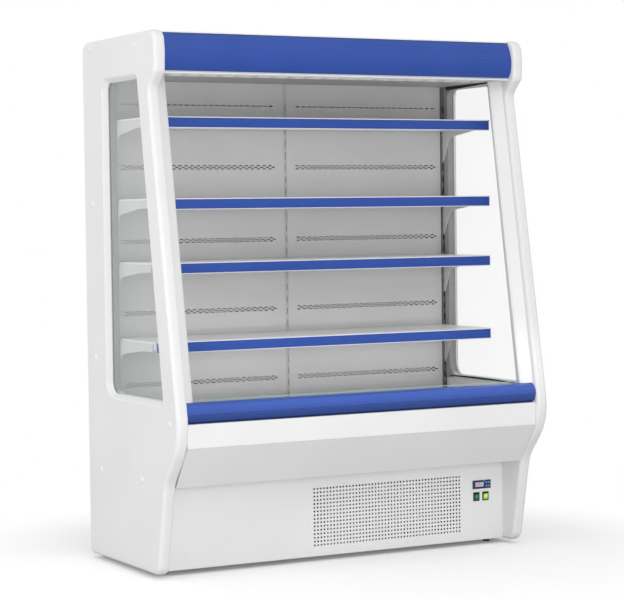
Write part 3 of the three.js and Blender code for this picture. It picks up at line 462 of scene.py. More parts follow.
# a flat profile drawn out along X, closed at both ends and centred
def makeSweepForm():
    tree, given = newForm("drawnProfile", {"Length": "Float", "Finish": "Material"})
    seed = given["Seed"]
    across = seed.node("ShaderNodeCombineXYZ", None, {"X": given["Length"]})
    inputs = {"Mesh": seed, "Offset": across, "Offset Scale": 1.0, "Individual": False}
    length = seed.node("GeometryNodeExtrudeMesh", {"mode": "FACES"}, inputs)
    start = seed.node("GeometryNodeFlipFaces", None, {"Mesh": seed})
    both = seed.node("GeometryNodeJoinGeometry", None, {"Geometry": [length, start]})
    back = seed.node("ShaderNodeCombineXYZ", None, {"X": given["Length"] * -0.5})
    centred = seed.node("GeometryNodeSetPosition", None, {"Geometry": both, "Offset": back})
    closeForm(centred, given["Finish"])
    return tree


# rows and columns of one tile, centred on every point of the seed
def makeTileForm():
    inputs = {
        "Tile": "Object",
        "Columns": "Int",
        "Rows": "Int",
        "Pitch across": "Float",
        "Pitch up": "Float",
        "Finish": "Material",
    }
    tree, given = newForm("repeatedTile", inputs)
    seed = given["Seed"]
    tile = seed.node("GeometryNodeObjectInfo", None, {"Object": given["Tile"]}, "Geometry")

    def line(count, pitch, axis):
        first = seed.node("ShaderNodeCombineXYZ", None, {axis: (given[count] - 1.0) * given[pitch] * -0.5})
        step = seed.node("ShaderNodeCombineXYZ", None, {axis: given[pitch]})
        inputs = {"Count": given[count], "Start Location": first, "Offset": step}
        return seed.node("GeometryNodeMeshLine", None, inputs)

    def copies(points, one):
        return seed.node("GeometryNodeInstanceOnPoints", None, {"Points": points, "Instance": one})

    row = copies(line("Columns", "Pitch across", "X"), tile)
    block = copies(line("Rows", "Pitch up", "Z"), row)
    closeForm(copies(seed, block), given["Finish"])
    return tree


def grow(name, seed, tree, values):
    holder = bpy.data.objects.new(name, seed)
    studio.objects.link(holder)
    form = holder.modifiers.new("form", "NODES")
    form.node_group = tree
    for socket in tree.interface.items_tree:
        if socket.in_out == "INPUT" and socket.name in values:
            form[socket.identifier] = values[socket.name]
    return evaluated(holder)


def sweep(name, profile, length, finish, angle=28.0):
    points = [placed(0, depth, z) for depth, z in profile]
    seed = meshOf(name, points, [range(len(points))])
    if seed.polygons[0].normal.x < 0:
        seed.flip_normals()
    return tidied(grow(name, seed, sweepForm, {"Length": length * mm, "Finish": finish}), angle)


def tiled(name, tile, places, columns, rows, pitch, finish):
    sample = bpy.data.objects.new(name + "Tile", tile)
    studio.objects.link(sample)
    values = {
        "Tile": sample,
        "Columns": columns,
        "Rows": rows,
        "Pitch across": pitch[0] * mm,
        "Pitch up": pitch[1] * mm,
        "Finish": finish,
    }
    made = grow(name, meshOf(name, places, []), tileForm, values)
    bpy.data.objects.remove(sample)
    return made


def flowing(points, steps):  # a smooth line through the given points
    line = []
    ends = [points[0], *points, points[-1]]
    for index in range(1, len(ends) - 2):
        before, start, end, after = (Vector(ends[index + shift]) for shift in (-1, 0, 1, 2))
        for step in range(steps):
            t = step / steps
            place = 2 * start + (end - before) * t + (2 * before - 5 * start + 4 * end - after) * t * t
            line.append((place + (3 * start - before - 3 * end + after) * t ** 3) / 2)
    return [tuple(point) for point in line] + [tuple(points[-1])]


def thickened(line, thickness):  # a closed outline: the line and its copy, shifted to its left
    shifted = []
    for index, point in enumerate(line):
        before = Vector(line[max(index - 1, 0)])
        after = Vector(line[min(index + 1, len(line) - 1)])
        along = (after - before).normalized()
        shifted.append(Vector(point) + Vector((-along.y, along.x)) * thickness)
    return [tuple(point) for point in line] + [tuple(point) for point in reversed(shifted)]


def circleOutline(x, z, radius, sides):
    turns = [math.tau * (step + 0.5) / sides for step in range(sides)]
    return [(x + radius * math.cos(turn), z + radius * math.sin(turn)) for turn in turns]


def slotOutline(x, z, length, height, steps=4):
    outline = []
    for side in (1, -1):
        for step in range(steps + 1):
            turn = math.radians(180 * step / steps - 90 * side)
            centre = x + side * (length - height) / 2
            outline.append((centre + math.cos(turn) * height / 2, z + math.sin(turn) * height / 2))
    return outline


def boxOutline(x0, z0, x1, z1):
    return [(x0, z0), (x1, z0), (x1, z1), (x0, z1)]


def moved(profile, across, up):
    return [(across + x, up + z) for x, z in profile]


def pierced(outline, holes, depth):  # a flat sheet with holes, facing the front
    loops = [outline, *holes]
    triangles = geometry.tessellate_polygon([[Vector((x, z, 0)) for x, z in loop] for loop in loops])
    return [placed(x, depth, z) for loop in loops for x, z in loop], triangles


def ringFaces(rings, sides):  # the walls between neighbouring rings of points, then both ends
    faces = []
    for low in range(0, (rings - 1) * sides, sides):
        for step in range(sides):
            after = (step + 1) % sides
            faces.append((low + step, low + after, low + sides + after, low + sides + step))
    return faces + [range(sides), range((rings - 1) * sides, rings * sides)]


def lathe(name, outline, sides, axis):  # outline: radius and height, turned about an axis
    spin = Vector(axis).to_track_quat("Z", "Y").to_matrix()
    points = []
    for radius, height in outline:
        for step in range(sides):
            turn = math.tau * step / sides
            points.append(spin @ Vector((radius * math.cos(turn), radius * math.sin(turn), height)) * mm)
    return tidied(meshOf(name, points, ringFaces(len(outline), sides)), 40.0)


def makeEndPanels():
    for side in ("left", "right"):
        refine(side + "_end_panel", 0, angle=38.0)


capLook = {
    "places": ((82, 1855), (481, 1843), (80, 1295), (88, 739), (122, 333), (488, 335), (729, 547)),
    "outline": (
        (13.0, -0.8), (13.5, -0.3), (13.5, 0.5), (13.0, 1.0), (12.4, 0.9), (11.9, 1.1),
        (8.37, 2.9), (4.32, 3.3), (0.675, 3.4),
    ),
    "sides": 20,
    "outerFace": 750.0,
}


def makeScrewCaps():
    for name, side in (("left", -1), ("right", 1)):
        tile = lathe(name + "Cap", capLook["outline"], capLook["sides"], (side, 0, 0))
        places = [placed(side * capLook["outerFace"], depth, z) for depth, z in capLook["places"]]
        # the caps are a touch paler than the moulding: a painted highlight on the domes
        mesh = tiled(name + "ScrewCaps", tile, places, 1, 1, (0, 0), capHighlightFinish)
        show(name + "ScrewCaps", tidied(mesh, 40.0), "cabinet", "white_moulding", capHighlightFinish)


fasciaLook = {
    "line": ((611, 3), (623, 14), (634, 36), (636, 71), (626, 105), (609, 137)),
    "steps": 7,
    "thickness": 3.0,
    "lip": (
        (-3.2, -0.3), (1.2, -0.3), (2.2, 0.8), (5.4, 3.6), (4.4, 4.8), (1.0, 1.8), (-0.4, 0.9), (-3.2, 0.9),
    ),
    "bead": ((-3.0, -1.5), (1.0, -2.2), (0.6, 0.2), (-0.6, 1.2), (-3.0, 1.0)),
}


def makeFascia():
    line = flowing(moved(fasciaLook["line"], 0, cabinet["ceiling"]), fasciaLook["steps"])
    outline = thickened(line, fasciaLook["thickness"])
    mesh = sweep("canopyFascia", outline, cabinet["railLength"], materials["blue_plastic"])
    show("canopyFasciaCurve", mesh, "cabinet", "blue_plastic", None, ("canopy_fascia",))
    # the lower lip is white moulding given a darker, slightly bluish grey: painted shade under the fascia
    mesh = sweep("fasciaLip", moved(fasciaLook["lip"], *line[0]), cabinet["railLength"], lipShadedFinish)
    show("canopyLowerLip", mesh, "cabinet", "white_moulding", lipShadedFinish)
    bead = moved(fasciaLook["bead"], *line[-1])
    mesh = sweep("fasciaBead", bead, cabinet["railLength"], materials["black_plastic"])
    show("canopyUpperBead", mesh, "cabinet", "black_plastic")


# setbacks of the face: how far, from what height over the rim, and over what fall
bumperLook = {
    "line": ((-48, 71), (-29, 65), (-17, 48), (-13, 23), (-16, 8), (-22, 0.3)),
    "steps": 14,
    "setbacks": ((2.0, 33.0, 2.0), (8.0, 33.0, 33.0), (7.0, 7.5, 1.5)),
    "rear": ((-61.0, 0.3), (-61.0, 71.0)),
}


def makeBumper():
    front, rim = cabinet["depth"], cabinet["tubRim"]
    outline = []
    for depth, z in flowing(moved(bumperLook["line"], front, rim), bumperLook["steps"]):
        for amount, start, fall in bumperLook["setbacks"]:
            depth -= amount * min(1.0, max(0.0, (rim + start - z) / fall))
        outline.append((depth, z))
    outline += moved(bumperLook["rear"], front, rim)
    mesh = sweep("bumperRail", outline, cabinet["railLength"], bumperFinish, 24.0)
    show("bumperRailExtrusion", mesh, "cabinet", "blue_plastic", bumperFinish, ("bumper_rail",))


riserLook = {
    "profile": (
        (725.4, 623.8), (731.4, 623.8), (731.4, 625.3), (730.5, 626.0), (726.3, 626.0), (725.4, 625.3),
    ),
    "length": 1329.0,
}


def makeRiserEdge():  # the ground top edge of the glass riser, greener than its face
    mesh = sweep("riserEdge", riserLook["profile"], riserLook["length"], glassEdgeFinish)
    show("glassRiserEdge", mesh, "cabinet", "clear_glass", glassEdgeFinish)


# profiles measured from the strip's front face and from the top of its shelf
stripLook = {
    "face": 502.3,
    "holder": (
        (-3.4, -40.0), (-0.9, -40.0), (0, -39.2), (0, -37.4), (-0.9, -37.4), (-1.2, -38.5),
        (-2.4, -38.4), (-2.4, -2.2), (-1.1, -1.9), (-0.9, -3.8), (0, -3.8), (0, -1.1),
        (-0.8, -0.2), (-15.0, -0.2), (-15.0, -1.5), (-3.4, -1.5),
    ),
    "holderLength": 1388.0,
    "insert": (
        (-2.2, -38.1), (-1.3, -37.9), (-0.6, -31.0), (-0.45, -20.0),
        (-0.6, -10.2), (-1.3, -3.2), (-2.2, -3.0),
    ),
    "insertLength": 1381.0,
}


def makeTicketStrips():
    look = stripLook
    for number, top in enumerate(cabinet["shelfTops"], 1):
        body = "shelf_%d" % number
        holder = moved(look["holder"], look["face"], top)
        mesh = sweep("stripHolder", holder, look["holderLength"], holderFinish)
        show("ticketHolder%d" % number, mesh, body, "white_moulding", holderFinish)
        insert = moved(look["insert"], look["face"], top)
        mesh = sweep("stripInsert", insert, look["insertLength"], materials["blue_plastic"])
        show("ticketStrip%dInsert" % number, mesh, body, "blue_plastic", None, ("ticket_strip_%d" % number,))


rearPanelLook = {
    "inner": 6.8,
    "outer": 688.7,
    "low": 511.7,
    "high": 1740.7,
    "cells": 25,
    "pitch": 24.8,
    "middle": 354.6,
    "chainBands": (1429.0, 1159.0, 899.0, 638.0),
    "topBand": 1657.0,
    "bandHeight": 26.0,
    "slot": (13.4, 4.2),
    "chainRise": 6.0,
    "topSlot": (15.0, 4.2),
    "sheet": 1.5,
    "flange": (160.0, 185.0),
}


def cellMesh(name, outline, holes):  # one tile of a pierced sheet, about the origin
    points, faces = pierced(outline, holes, 0)
    return meshOf(name, [point - placed(0, 0, 0) for point in points], faces)


def thickSheet(thickness):
    return [("SOLIDIFY", {"thickness": thickness * mm, "offset": -1})]


def facing(*way):
    return lambda centre: Vector(way)


def makeRearPanels():
    look = rearPanelLook
    pitch, reach = look["pitch"] / 2, look["bandHeight"] / 2
    cell = boxOutline(-pitch, -reach, pitch, reach)
    length, height = look["slot"]
    rise, shift = look["chainRise"], look["pitch"] / 4
    chain = [slotOutline(-shift, side * rise, length, height) for side in (1, -1)]
    chain.append(slotOutline(shift, 0, length, height))
    topRow = [slotOutline(0, 0, *look["topSlot"])]
    finish = materials[slotOf["left_rear_panel"]]
    face = cabinet["rearPanelFace"]
    for name, side in (("left", -1), ("right", 1)):
        middle = side * look["middle"]
        half = look["cells"] * pitch
        ends = sorted((side * look["inner"], side * look["outer"]))
        plain = []
        low = look["low"]
        for band in sorted((*look["chainBands"], look["topBand"])):
            bottom, top = band - reach, band + reach
            plain.append(boxOutline(ends[0], low, ends[1], bottom))
            plain.append(boxOutline(ends[0], bottom, middle - half, top))
            plain.append(boxOutline(middle + half, bottom, ends[1], top))
            low = top
        plain.append(boxOutline(ends[0], low, ends[1], look["high"]))
        sheets = [meshOf("rearPlain", *pierced(outline, [], face)) for outline in plain]
        for holes, heights in ((chain, look["chainBands"]), (topRow, (look["topBand"],))):
            places = [placed(middle, face, height) for height in heights]
            tile = cellMesh("rearCell", cell, holes)
            sheets.append(tiled("rearBand", tile, places, look["cells"], 1, (look["pitch"], 0), finish))
        sheet = tidied(gathered(name + "RearSheet", sheets), 32.0, facing(0, -1, 0))
        walls = baked(name + "RearSheet", sheet, thickSheet(look["sheet"]))
        flange = boxMesh(ends, (look["low"], look["low"] + look["sheet"]), look["flange"])
        mesh = smoothed(gathered(name + "RearPanel", [walls, flange]), 30)
        node = name + "_rear_panel"
        show(name + "RearPanelPerforated", mesh, "cabinet", slotOf[node], None, (node,))


def boxMesh(xRange, zRange, depthRange):
    points = [placed(x, depth, z) for x in xRange for depth in depthRange for z in zRange]
    faces = [(0, 1, 3, 2), (4, 6, 7, 5), (0, 4, 5, 1), (2, 3, 7, 6), (0, 2, 6, 4), (1, 5, 7, 3)]
    return tidied(meshOf("block", points, faces), 30.0)


plinthLook = {
    "half": 705.7,
    "low": 17.0,
    "high": 322.7,
    "back": 14.0,
    "bend": 3.0,
    "bendSteps": 4,
    "sheet": 1.5,
    "grille": (205.5, 160.0),
    "columns": 47,
    "rows": 16,
    "pitch": (13.413, 13.6),
    "hole": 7.5,
    "holeSides": 10,
    "controller": (612.0, 227.0, 72.0, 26.0),
    "switches": ((588.5, 182.0, 24.0, 30.0), (629.0, 182.0, 24.0, 30.0)),
}


def makePlinth():
    look = plinthLook
    depth = cabinet["plinthFace"]
    x, z = look["grille"]
    across, up = look["columns"] * look["pitch"][0] / 2, look["rows"] * look["pitch"][1] / 2
    openings = [boxOutline(x - across, z - up, x + across, z + up)]
    for middleX, middleZ, width, height in (look["controller"], *look["switches"]):
        sides = (middleX - width / 2, middleZ - height / 2, middleX + width / 2, middleZ + height / 2)
        openings.append(boxOutline(*sides))
    low, high = look["low"] + look["bend"], look["high"] - look["bend"]
    half, bend = look["half"], look["bend"]
    sheets = [meshOf("plinthFace", *pierced(boxOutline(-half, low, half, high), openings, depth))]
    for centre, side in ((low, -1), (high, 1)):
        line = [(depth, centre)]
        for step in range(look["bendSteps"]):
            turn = math.radians(90 * (step + 1) / look["bendSteps"])
            line.append((depth - bend * (1 - math.cos(turn)), centre + side * bend * math.sin(turn)))
        line.append((depth - look["back"], centre + side * bend))
        points = [placed(end, *place) for place in line for end in (-half, half)]
        faces = [(2 * i, 2 * i + 1, 2 * i + 3, 2 * i + 2) for i in range(len(line) - 1)]
        sheets.append(meshOf("plinthBend", points, faces))
    halfX, halfZ = look["pitch"][0] / 2, look["pitch"][1] / 2
    hole = circleOutline(0, 0, look["hole"] / 2, look["holeSides"])
    tile = cellMesh("grilleCell", boxOutline(-halfX, -halfZ, halfX, halfZ), [hole])
    places = [placed(x, depth, z)]
    finish = materials[slotOf["plinth_panel"]]
    sheets.append(tiled("plinthGrille", tile, places, look["columns"], look["rows"], look["pitch"], finish))
    sheet = gathered("plinthSheet", sheets)
    middle = (look["low"] + look["high"]) / 2 * mm
    front = backY - (depth - 0.5) * mm

    def outward(centre):  # up or down on the bent edges, forward on the face
        return Vector((0, -0.04, (centre.z - middle) * (0.3 if centre.y < front else 1)))

    mesh = smoothed(baked("plinthSheet", tidied(sheet, 32.0, outward), thickSheet(look["sheet"])), 32)
    show("plinthPanelPerforated", mesh, "cabinet", slotOf["plinth_panel"], None, ("plinth_panel",))


controllerLook = {
    "face": 552.35,
    "display": (602.0, 227.0, 36.0, 17.0),
    "digitHeight": 10.5,
    "digitWidth": 5.6,
    "stroke": 1.3,
    "digits": ((594.0, "abged"), (602.2, "afgcd")),
    "patch": (622.0, 239.0, 8.0, 3.0),
    "keys": ((633.0, 233.5), (643.5, 233.5), (633.0, 220.5), (643.5, 220.5)),
    "keySize": (7.0, 5.0),
    "displayDepths": (-1.0, -0.2),  # these four are measured from the face
    "digitDepths": (-0.5, 0.0),
    "keyDepths": (-0.3, 0.55),
    "patchDepths": (-0.3, 0.2),
}


def plate(name, place, depths, radius):  # thin plate on the controller, its corners and edges rounded
    x, z, width, height = place
    low, high = (controllerLook["face"] + depth for depth in controllerLook[depths])
    outline = []
    for signX, signZ, start in ((1, -1, -90), (1, 1, 0), (-1, 1, 90), (-1, -1, 180)):
        for step in range(4):
            turn = math.radians(start + 30 * step)
            outline.append((
                x + signX * (width / 2 - radius) + radius * math.cos(turn),
                z + signZ * (height / 2 - radius) + radius * math.sin(turn),
            ))
    points = [placed(px, depth, pz) for depth in (low, high) for px, pz in outline]
    mesh = tidied(meshOf(name, points, ringFaces(2, len(outline))), 30.0)
    return baked(name, mesh, softened(min(0.35, (high - low) * 0.4), 2, 40.0))


def makeController():
    look = controllerLook
    refine("controller", 1.0, finish=controllerFinish)
    mesh = plate("display", look["display"], "displayDepths", 1.2)
    show("controllerDisplay", mesh, "cabinet", "white_moulding", displayFinish)
    stroke, wide, tall = look["stroke"], look["digitWidth"], look["digitHeight"]
    bars = {
        "a": (0, tall / 2, wide, stroke), "g": (0, 0, wide, stroke), "d": (0, -tall / 2, wide, stroke),
        "b": (wide / 2, tall / 4, stroke, tall / 2), "c": (wide / 2, -tall / 4, stroke, tall / 2),
        "f": (-wide / 2, tall / 4, stroke, tall / 2), "e": (-wide / 2, -tall / 4, stroke, tall / 2),
    }
    lines = []
    for middle, lit in look["digits"]:
        for across, up, width, height in (bars[letter] for letter in lit):
            place = (middle + across, look["display"][1] + up, width, height)
            lines.append(plate("bar", place, "digitDepths", 0.3))
    show("controllerDigits", gathered("displayDigits", lines), "cabinet", "dark_green_lens", digitFinish)
    keys = [plate("key", (*place, *look["keySize"]), "keyDepths", 1.8) for place in look["keys"]]
    keys.append(plate("patch", look["patch"], "patchDepths", 0.8))
    show("controllerKeys", gathered("controllerKeys", keys), "cabinet", "blue_plastic", keyFinish)


def makeSwitches():
    for number, finish in ((1, darkKeyFinish), (2, litKeyFinish)):
        refine("switch_housing_%d" % number, 0.6)
        refine("switch_rocker_%d" % number, 0.5, 3, finish=finish)


louvreLook = {
    "span": 1200.0,
    "columns": 8,
    "heights": (120.0, 180.0, 240.0),
    "size": (80.0, 16.0),
    "rise": 6.0,
    "lift": 5.0,
    "shares": (0.0, 0.35, 0.7, 1.0),
    "sheet": 0.9,
    "screws": (-690.0, -345.0, 0.0, 345.0, 690.0),
    "screwHeights": (34.0, 308.0),
    "screwSides": 14,
    "screwHead": ((4.4, 0), (4.3, 0.9), (3.6, 1.7), (2.2, 2.2), (1.4, 2.25), (1.2, 1.2), (0.2, 1.1)),
}


def makeRearCover():
    look = louvreLook
    refine("rear_cover", 0.3)
    depth = (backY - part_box("rear_cover")[1][1]) / mm
    points = []
    width, height = look["size"]
    for across, inset in ((-0.86, 0.75), (0, 1.0), (0.86, 0.75), (-1, 0), (1, 0)):
        for share in look["shares"]:
            rise = look["rise"] * inset * math.sin(share * math.pi / 2)
            points.append(Vector((width / 2 * across, rise, height * (0.5 - share))) * mm)
    rows = ((0, 4), (4, 8), (0, 12), (8, 16))  # first points of neighbouring ribs
    faces = [(one + j, one + j + 1, two + j + 1, two + j) for one, two in rows for j in range(3)]
    hood = tidied(meshOf("louvreHood", points, faces), 60.0, facing(0, 1, 0.4))
    hood = baked("louvreHood", hood, thickSheet(look["sheet"]))
    pitch = look["span"] / (look["columns"] - 1)
    places = [placed(0, depth, z + look["lift"]) for z in look["heights"]]
    mesh = tiled("louvres", hood, places, look["columns"], 1, (pitch, 0), materials["galvanised_steel"])
    mesh.shade_smooth()
    show("rearCoverLouvres", mesh, "cabinet", "galvanised_steel", materials[slotOf["rear_cover"]])
    head = lathe("panHead", look["screwHead"], look["screwSides"], (0, 1, 0))
    places = [placed(x, depth, z) for x in look["screws"] for z in look["screwHeights"]]
    mesh = tiled("coverScrews", head, places, 1, 1, (0, 0), materials["zinc_steel"])
    show("rearCoverScrews", tidied(mesh, 40.0), "cabinet", "zinc_steel")


rivetLook = {
    "sides": 14,
    "dome": ((4.9, -0.4), (5.0, 0.2), (4.6, 0.9), (3.6, 1.6), (2.0, 2.1), (0.6, 2.25), (0.2, 2.26)),
    "rearMiddle": 1081.0,
    "rearAcross": {"columns": 9, "rows": 2, "pitch": (172.0, 1470.0)},
    "rearUp": {"columns": 2, "rows": 9, "pitch": (1380.0, 163.3)},
    "roofDepths": (24.0, 560.0),
    "roofColumns": 8,
    "roofPitch": 190.0,
}


def makeRivets():
    depth = (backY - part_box("rear_wall")[1][1]) / mm
    finish = materials["zinc_steel"]
    rearRivet = lathe("rearRivet", rivetLook["dome"], rivetLook["sides"], (0, 1, 0))
    middle = placed(0, depth, rivetLook["rearMiddle"])
    rows = []
    for key in ("rearAcross", "rearUp"):
        look = rivetLook[key]
        rows.append(tiled(key, rearRivet, [middle], look["columns"], look["rows"], look["pitch"], finish))
    show("rearWallRivets", tidied(gathered("rearWallRivets", rows), 40.0), "cabinet", "zinc_steel")
    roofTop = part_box("roof_panel")[1][2] / mm
    cap = lathe("roofScrew", rivetLook["dome"], rivetLook["sides"], (0, 0, 1))
    places = [placed(0, roofDepth, roofTop) for roofDepth in rivetLook["roofDepths"]]
    pitch = (rivetLook["roofPitch"], 0)
    mesh = tiled("roofScrews", cap, places, rivetLook["roofColumns"], 1, pitch, finish)
    show("roofScrews", tidied(mesh, 40.0), "cabinet", "zinc_steel")


# black seals at each window's head and sill: partly glazing seals, partly a dark piece standing as painted
# shade, the head seal tapering like the shade under the ceiling and the sill seal thickest in the middle
# like the shaded line there
sealLook = {
    "head": {"rear": 195.0, "front": 480.0, "level": 1740.6, "rearSize": 14.0, "frontSize": 4.0},
    "sill": {"rear": 205.0, "front": 655.0, "level": 611.0, "endSize": 3.0, "middleSize": 7.0},
    "across": (693.0, 704.6),
    "rounding": 1.4,
    "steps": 14,
}


def headShadeSize(share):
    look = sealLook["head"]
    return look["rearSize"] + (look["frontSize"] - look["rearSize"]) * share


def sillShadeSize(share):
    look = sealLook["sill"]
    swell = math.sin(math.pi * min(1, share * 1.1))
    return look["endSize"] + (look["middleSize"] - look["endSize"]) * swell


def wedge(name, side, look, sizes, upward):
    inner, outer = sealLook["across"]
    rings = sealLook["steps"] + 1
    points = []
    for step in range(rings):
        share = step / (rings - 1)
        depth = look["rear"] + (look["front"] - look["rear"]) * share
        size = sizes(share)
        low = look["level"] if upward else look["level"] - size
        high = look["level"] + size if upward else look["level"]
        cut = min(sealLook["rounding"], size * 0.3)
        ring = [
            (inner + cut, low), (outer, low), (outer, high), (inner + cut, high),
            (inner, high - cut), (inner, low + cut),
        ]
        points += [placed(side * x, depth, z) for x, z in ring]
    return tidied(meshOf(name, points, ringFaces(rings, len(ring))), 45.0)


# head and sill seals: real seals in part, their black and their size painted shade
def makeShadeSeals():
    for name, side in (("left", -1), ("right", 1)):
        mesh = wedge("headSeal", side, sealLook["head"], headShadeSize, False)
        show(name + "HeadSeal", mesh, "cabinet", "black_plastic")
        mesh = wedge("sillSeal", side, sealLook["sill"], sillShadeSize, True)
        show(name + "SillSeal", mesh, "cabinet", "black_plastic")


# black strips along both edges of each side upright's front: partly seals, partly a dark piece standing as
# painted shade in the gaps there
sideSealLook = {
    "places": (688.08, 704.48),
    "profile": (
        (-1.3, 160.5), (-1.3, 162.6), (-0.78, 163.3), (0, 163.6), (0.78, 163.3), (1.3, 162.6), (1.3, 160.5),
    ),
    "low": 542.0,
    "high": 1738.0,
}


def upright(profile, low, high, name):  # a profile in plan, drawn upward
    points = [placed(x, depth, z) for z in (low, high) for x, depth in profile]
    return tidied(meshOf(name, points, ringFaces(2, len(profile))), 30.0)


def makeSideSeals():
    look = sideSealLook
    for name, side in (("left", -1), ("right", 1)):
        strips = []
        for place in look["places"]:
            outline = moved(look["profile"], side * place, 0)
            strips.append(upright(outline, look["low"], look["high"], "sideSeal"))
        mesh = smoothed(gathered(name + "SideSeals", strips), 40)
        show(name + "UprightSeals", mesh, "cabinet", "black_plastic")


backingLook = {
    "profile": (
        (-5.0, 148.0), (-5.0, 154.5), (-3.5, 156.0), (3.5, 156.0), (5.0, 154.5), (5.0, 148.0),
        (4.0, 148.0), (4.0, 154.3), (3.3, 155.0), (-3.3, 155.0), (-4.0, 154.3), (-4.0, 148.0),
    ),
    "low": 545.0,
    "high": 1738.0,
}


# channel behind the centre upright's slots, for the hooks to latch into
def makeUprightBacking():
    look = backingLook
    mesh = upright(look["profile"], look["low"], look["high"], "uprightBacking")
    show("centreUprightBacking", mesh, "cabinet", "liner_paint")


softEdges = {
    "left_side_glass": 0.8, "right_side_glass": 0.8,
    "ceiling_panel": 1.0, "canopy_carrier": 0.8, "roof_panel": 1.2, "base_tub": 1.2,
    "upper_front_panel": 1.2, "sloping_front_panel": 1.2, "glass_riser": 0.6,
    "left_deck_tray": 0.6, "right_deck_tray": 0.6, "air_outlet_grille": 0.3, "air_return_grille": 0.3,
    "lamp_batten": 0.6, "lamp_tube": 0.0, "base_frame": 0.4, "rear_wall": 1.0,
    "compressor": 0.0, "condenser": 0.2, "evaporator": 0.2, "condenser_fan": 0.2, "evaporator_fan": 0.2,
    "foot_front_left": 0.4, "foot_front_right": 0.4, "foot_rear_left": 0.4, "foot_rear_right": 0.4,
}


def makeSoftEdges():
    for node, width in softEdges.items():
        refine(node, width)
    for side in ("left", "right"):
        refine(side + "_window_frame", 1.2, finish=frameFinish)
        # side uprights get a darkened zinc: its low tone is painted shade deep in the case
        refine(side + "_upright", 0.0, finish=uprightShadedFinish)
    refine("centre_upright", 0.2, finish=centreFinish)
    for number in range(1, 5):
        refine("shelf_%d" % number, 0.6)
        # the brackets' darker grey paint is painted shade inside the case
        refine("left_bracket_%d" % number, 0.15, finish=bracketShadedFinish)
        refine("right_bracket_%d" % number, 0.15, finish=bracketShadedFinish)


materials = {
    "white_moulding": coated("whiteMoulding", (0.81, 0.81, 0.815), {
        "roughness": 0.44, "specular": 0.3, "coat": 0.03, "scuffs": 0.5}),
    "white_paint": coated("whitePaint", (0.85, 0.85, 0.855), {"roughness": 0.38, "scuffs": 0.6}),
    "grey_paint": coated("greyPaint", (0.79, 0.79, 0.795), {"roughness": 0.42, "scuffs": 0.6}),
    "liner_paint": coated("linerPaint", (0.6, 0.6, 0.6), {"roughness": 0.45, "uneven": 0.03}),
    "blue_plastic": drawn("bluePlastic", (0.03, 0.079, 0.36), {"roughness": 0.3}),
    "clear_glass": clearPane("clearGlass", (0.9, 0.93, 0.92), {"mirror": 0.4, "veil": 0.035}),
    "zinc_steel": rolled("zincSteel", (0.52, 0.52, 0.53), {
        "along": (6.0, 90.0, 90.0), "spangle": 0.05, "metallic": 0.85, "roughness": 0.36}),
    "galvanised_steel": rolled("galvanisedSteel", (0.5, 0.51, 0.52), {
        "along": (4.0, 60.0, 60.0), "spangle": 0.12, "metallic": 0.8, "roughness": 0.45}),
    "black_plastic": grained("blackPlastic", (0.014, 0.014, 0.015), {"grain": 900.0, "roughness": 0.5}),
    "black_enamel": grained("blackEnamel", (0.012, 0.012, 0.012), {
        "grain": 500.0, "roughness": 0.32, "grainDepth": 0.00005}),
    "dark_green_lens": grained("darkGreenLens", (0.015, 0.1, 0.045), {"grain": 1200.0, "roughness": 0.24}),
    "lit_green_lens": grained("litGreenLens", (0.3, 0.6, 0.08), {"grain": 1200.0, "roughness": 0.24}),
    "insulated_skin": coated("insulatedSkin", (0.7, 0.7, 0.71), {
        "roughness": 0.5, "uneven": 0.05, "scuffs": 0.8}),
    "aluminium_fin": rolled("aluminiumFin", (0.6, 0.6, 0.61), {
        "along": (300.0, 20.0, 20.0), "spangle": 0.0, "metallic": 0.9, "roughness": 0.38}),
    "lamp_glass": coated("lampGlass", (0.92, 0.92, 0.9), {"roughness": 0.25, "peelDepth": 0.00001}),
}
# lower lip: a darker copy of the white moulding, painted shade under the fascia
lipShadedFinish = coated("lipMouldingShaded", (0.6, 0.605, 0.62), {"roughness": 0.4, "peelScale": 700.0})
# screw caps: a paler copy of the moulding, painted highlight
capHighlightFinish = coated("capPlasticHighlight", (0.83, 0.83, 0.83), {"roughness": 0.3, "peelScale": 900.0})
# window frames: white moulding with painted shade on the band towards the cabinet's back
frameFinish = coated("frameMoulding", (0.8, 0.8, 0.805), {
    "roughness": 0.34, "rearBand": 206.0, "rearShadeFade": 30.0, "rearShadeShare": 0.42})
# side uprights: darkened zinc, painted shade
uprightShadedFinish = rolled("uprightZinc", (0.24, 0.24, 0.25), {
    "along": (60.0, 60.0, 5.0), "spangle": 0.06, "metallic": 0.5, "roughness": 0.46})
centreFinish = coated("centrePaint", (0.5, 0.5, 0.505), {"roughness": 0.46, "peelDepth": 0.00004})
# bumper: blue extrusion with painted shade along its lower edge and painted light along its top
bumperFinish = drawn("bumperPlastic", (0.031, 0.082, 0.36), {
    "roughness": 0.24, "specular": 0.34, "coat": 0.1,
    "heights": (554.0, 608.0), "lowShadeShare": 0.66, "topLightShare": 1.22})
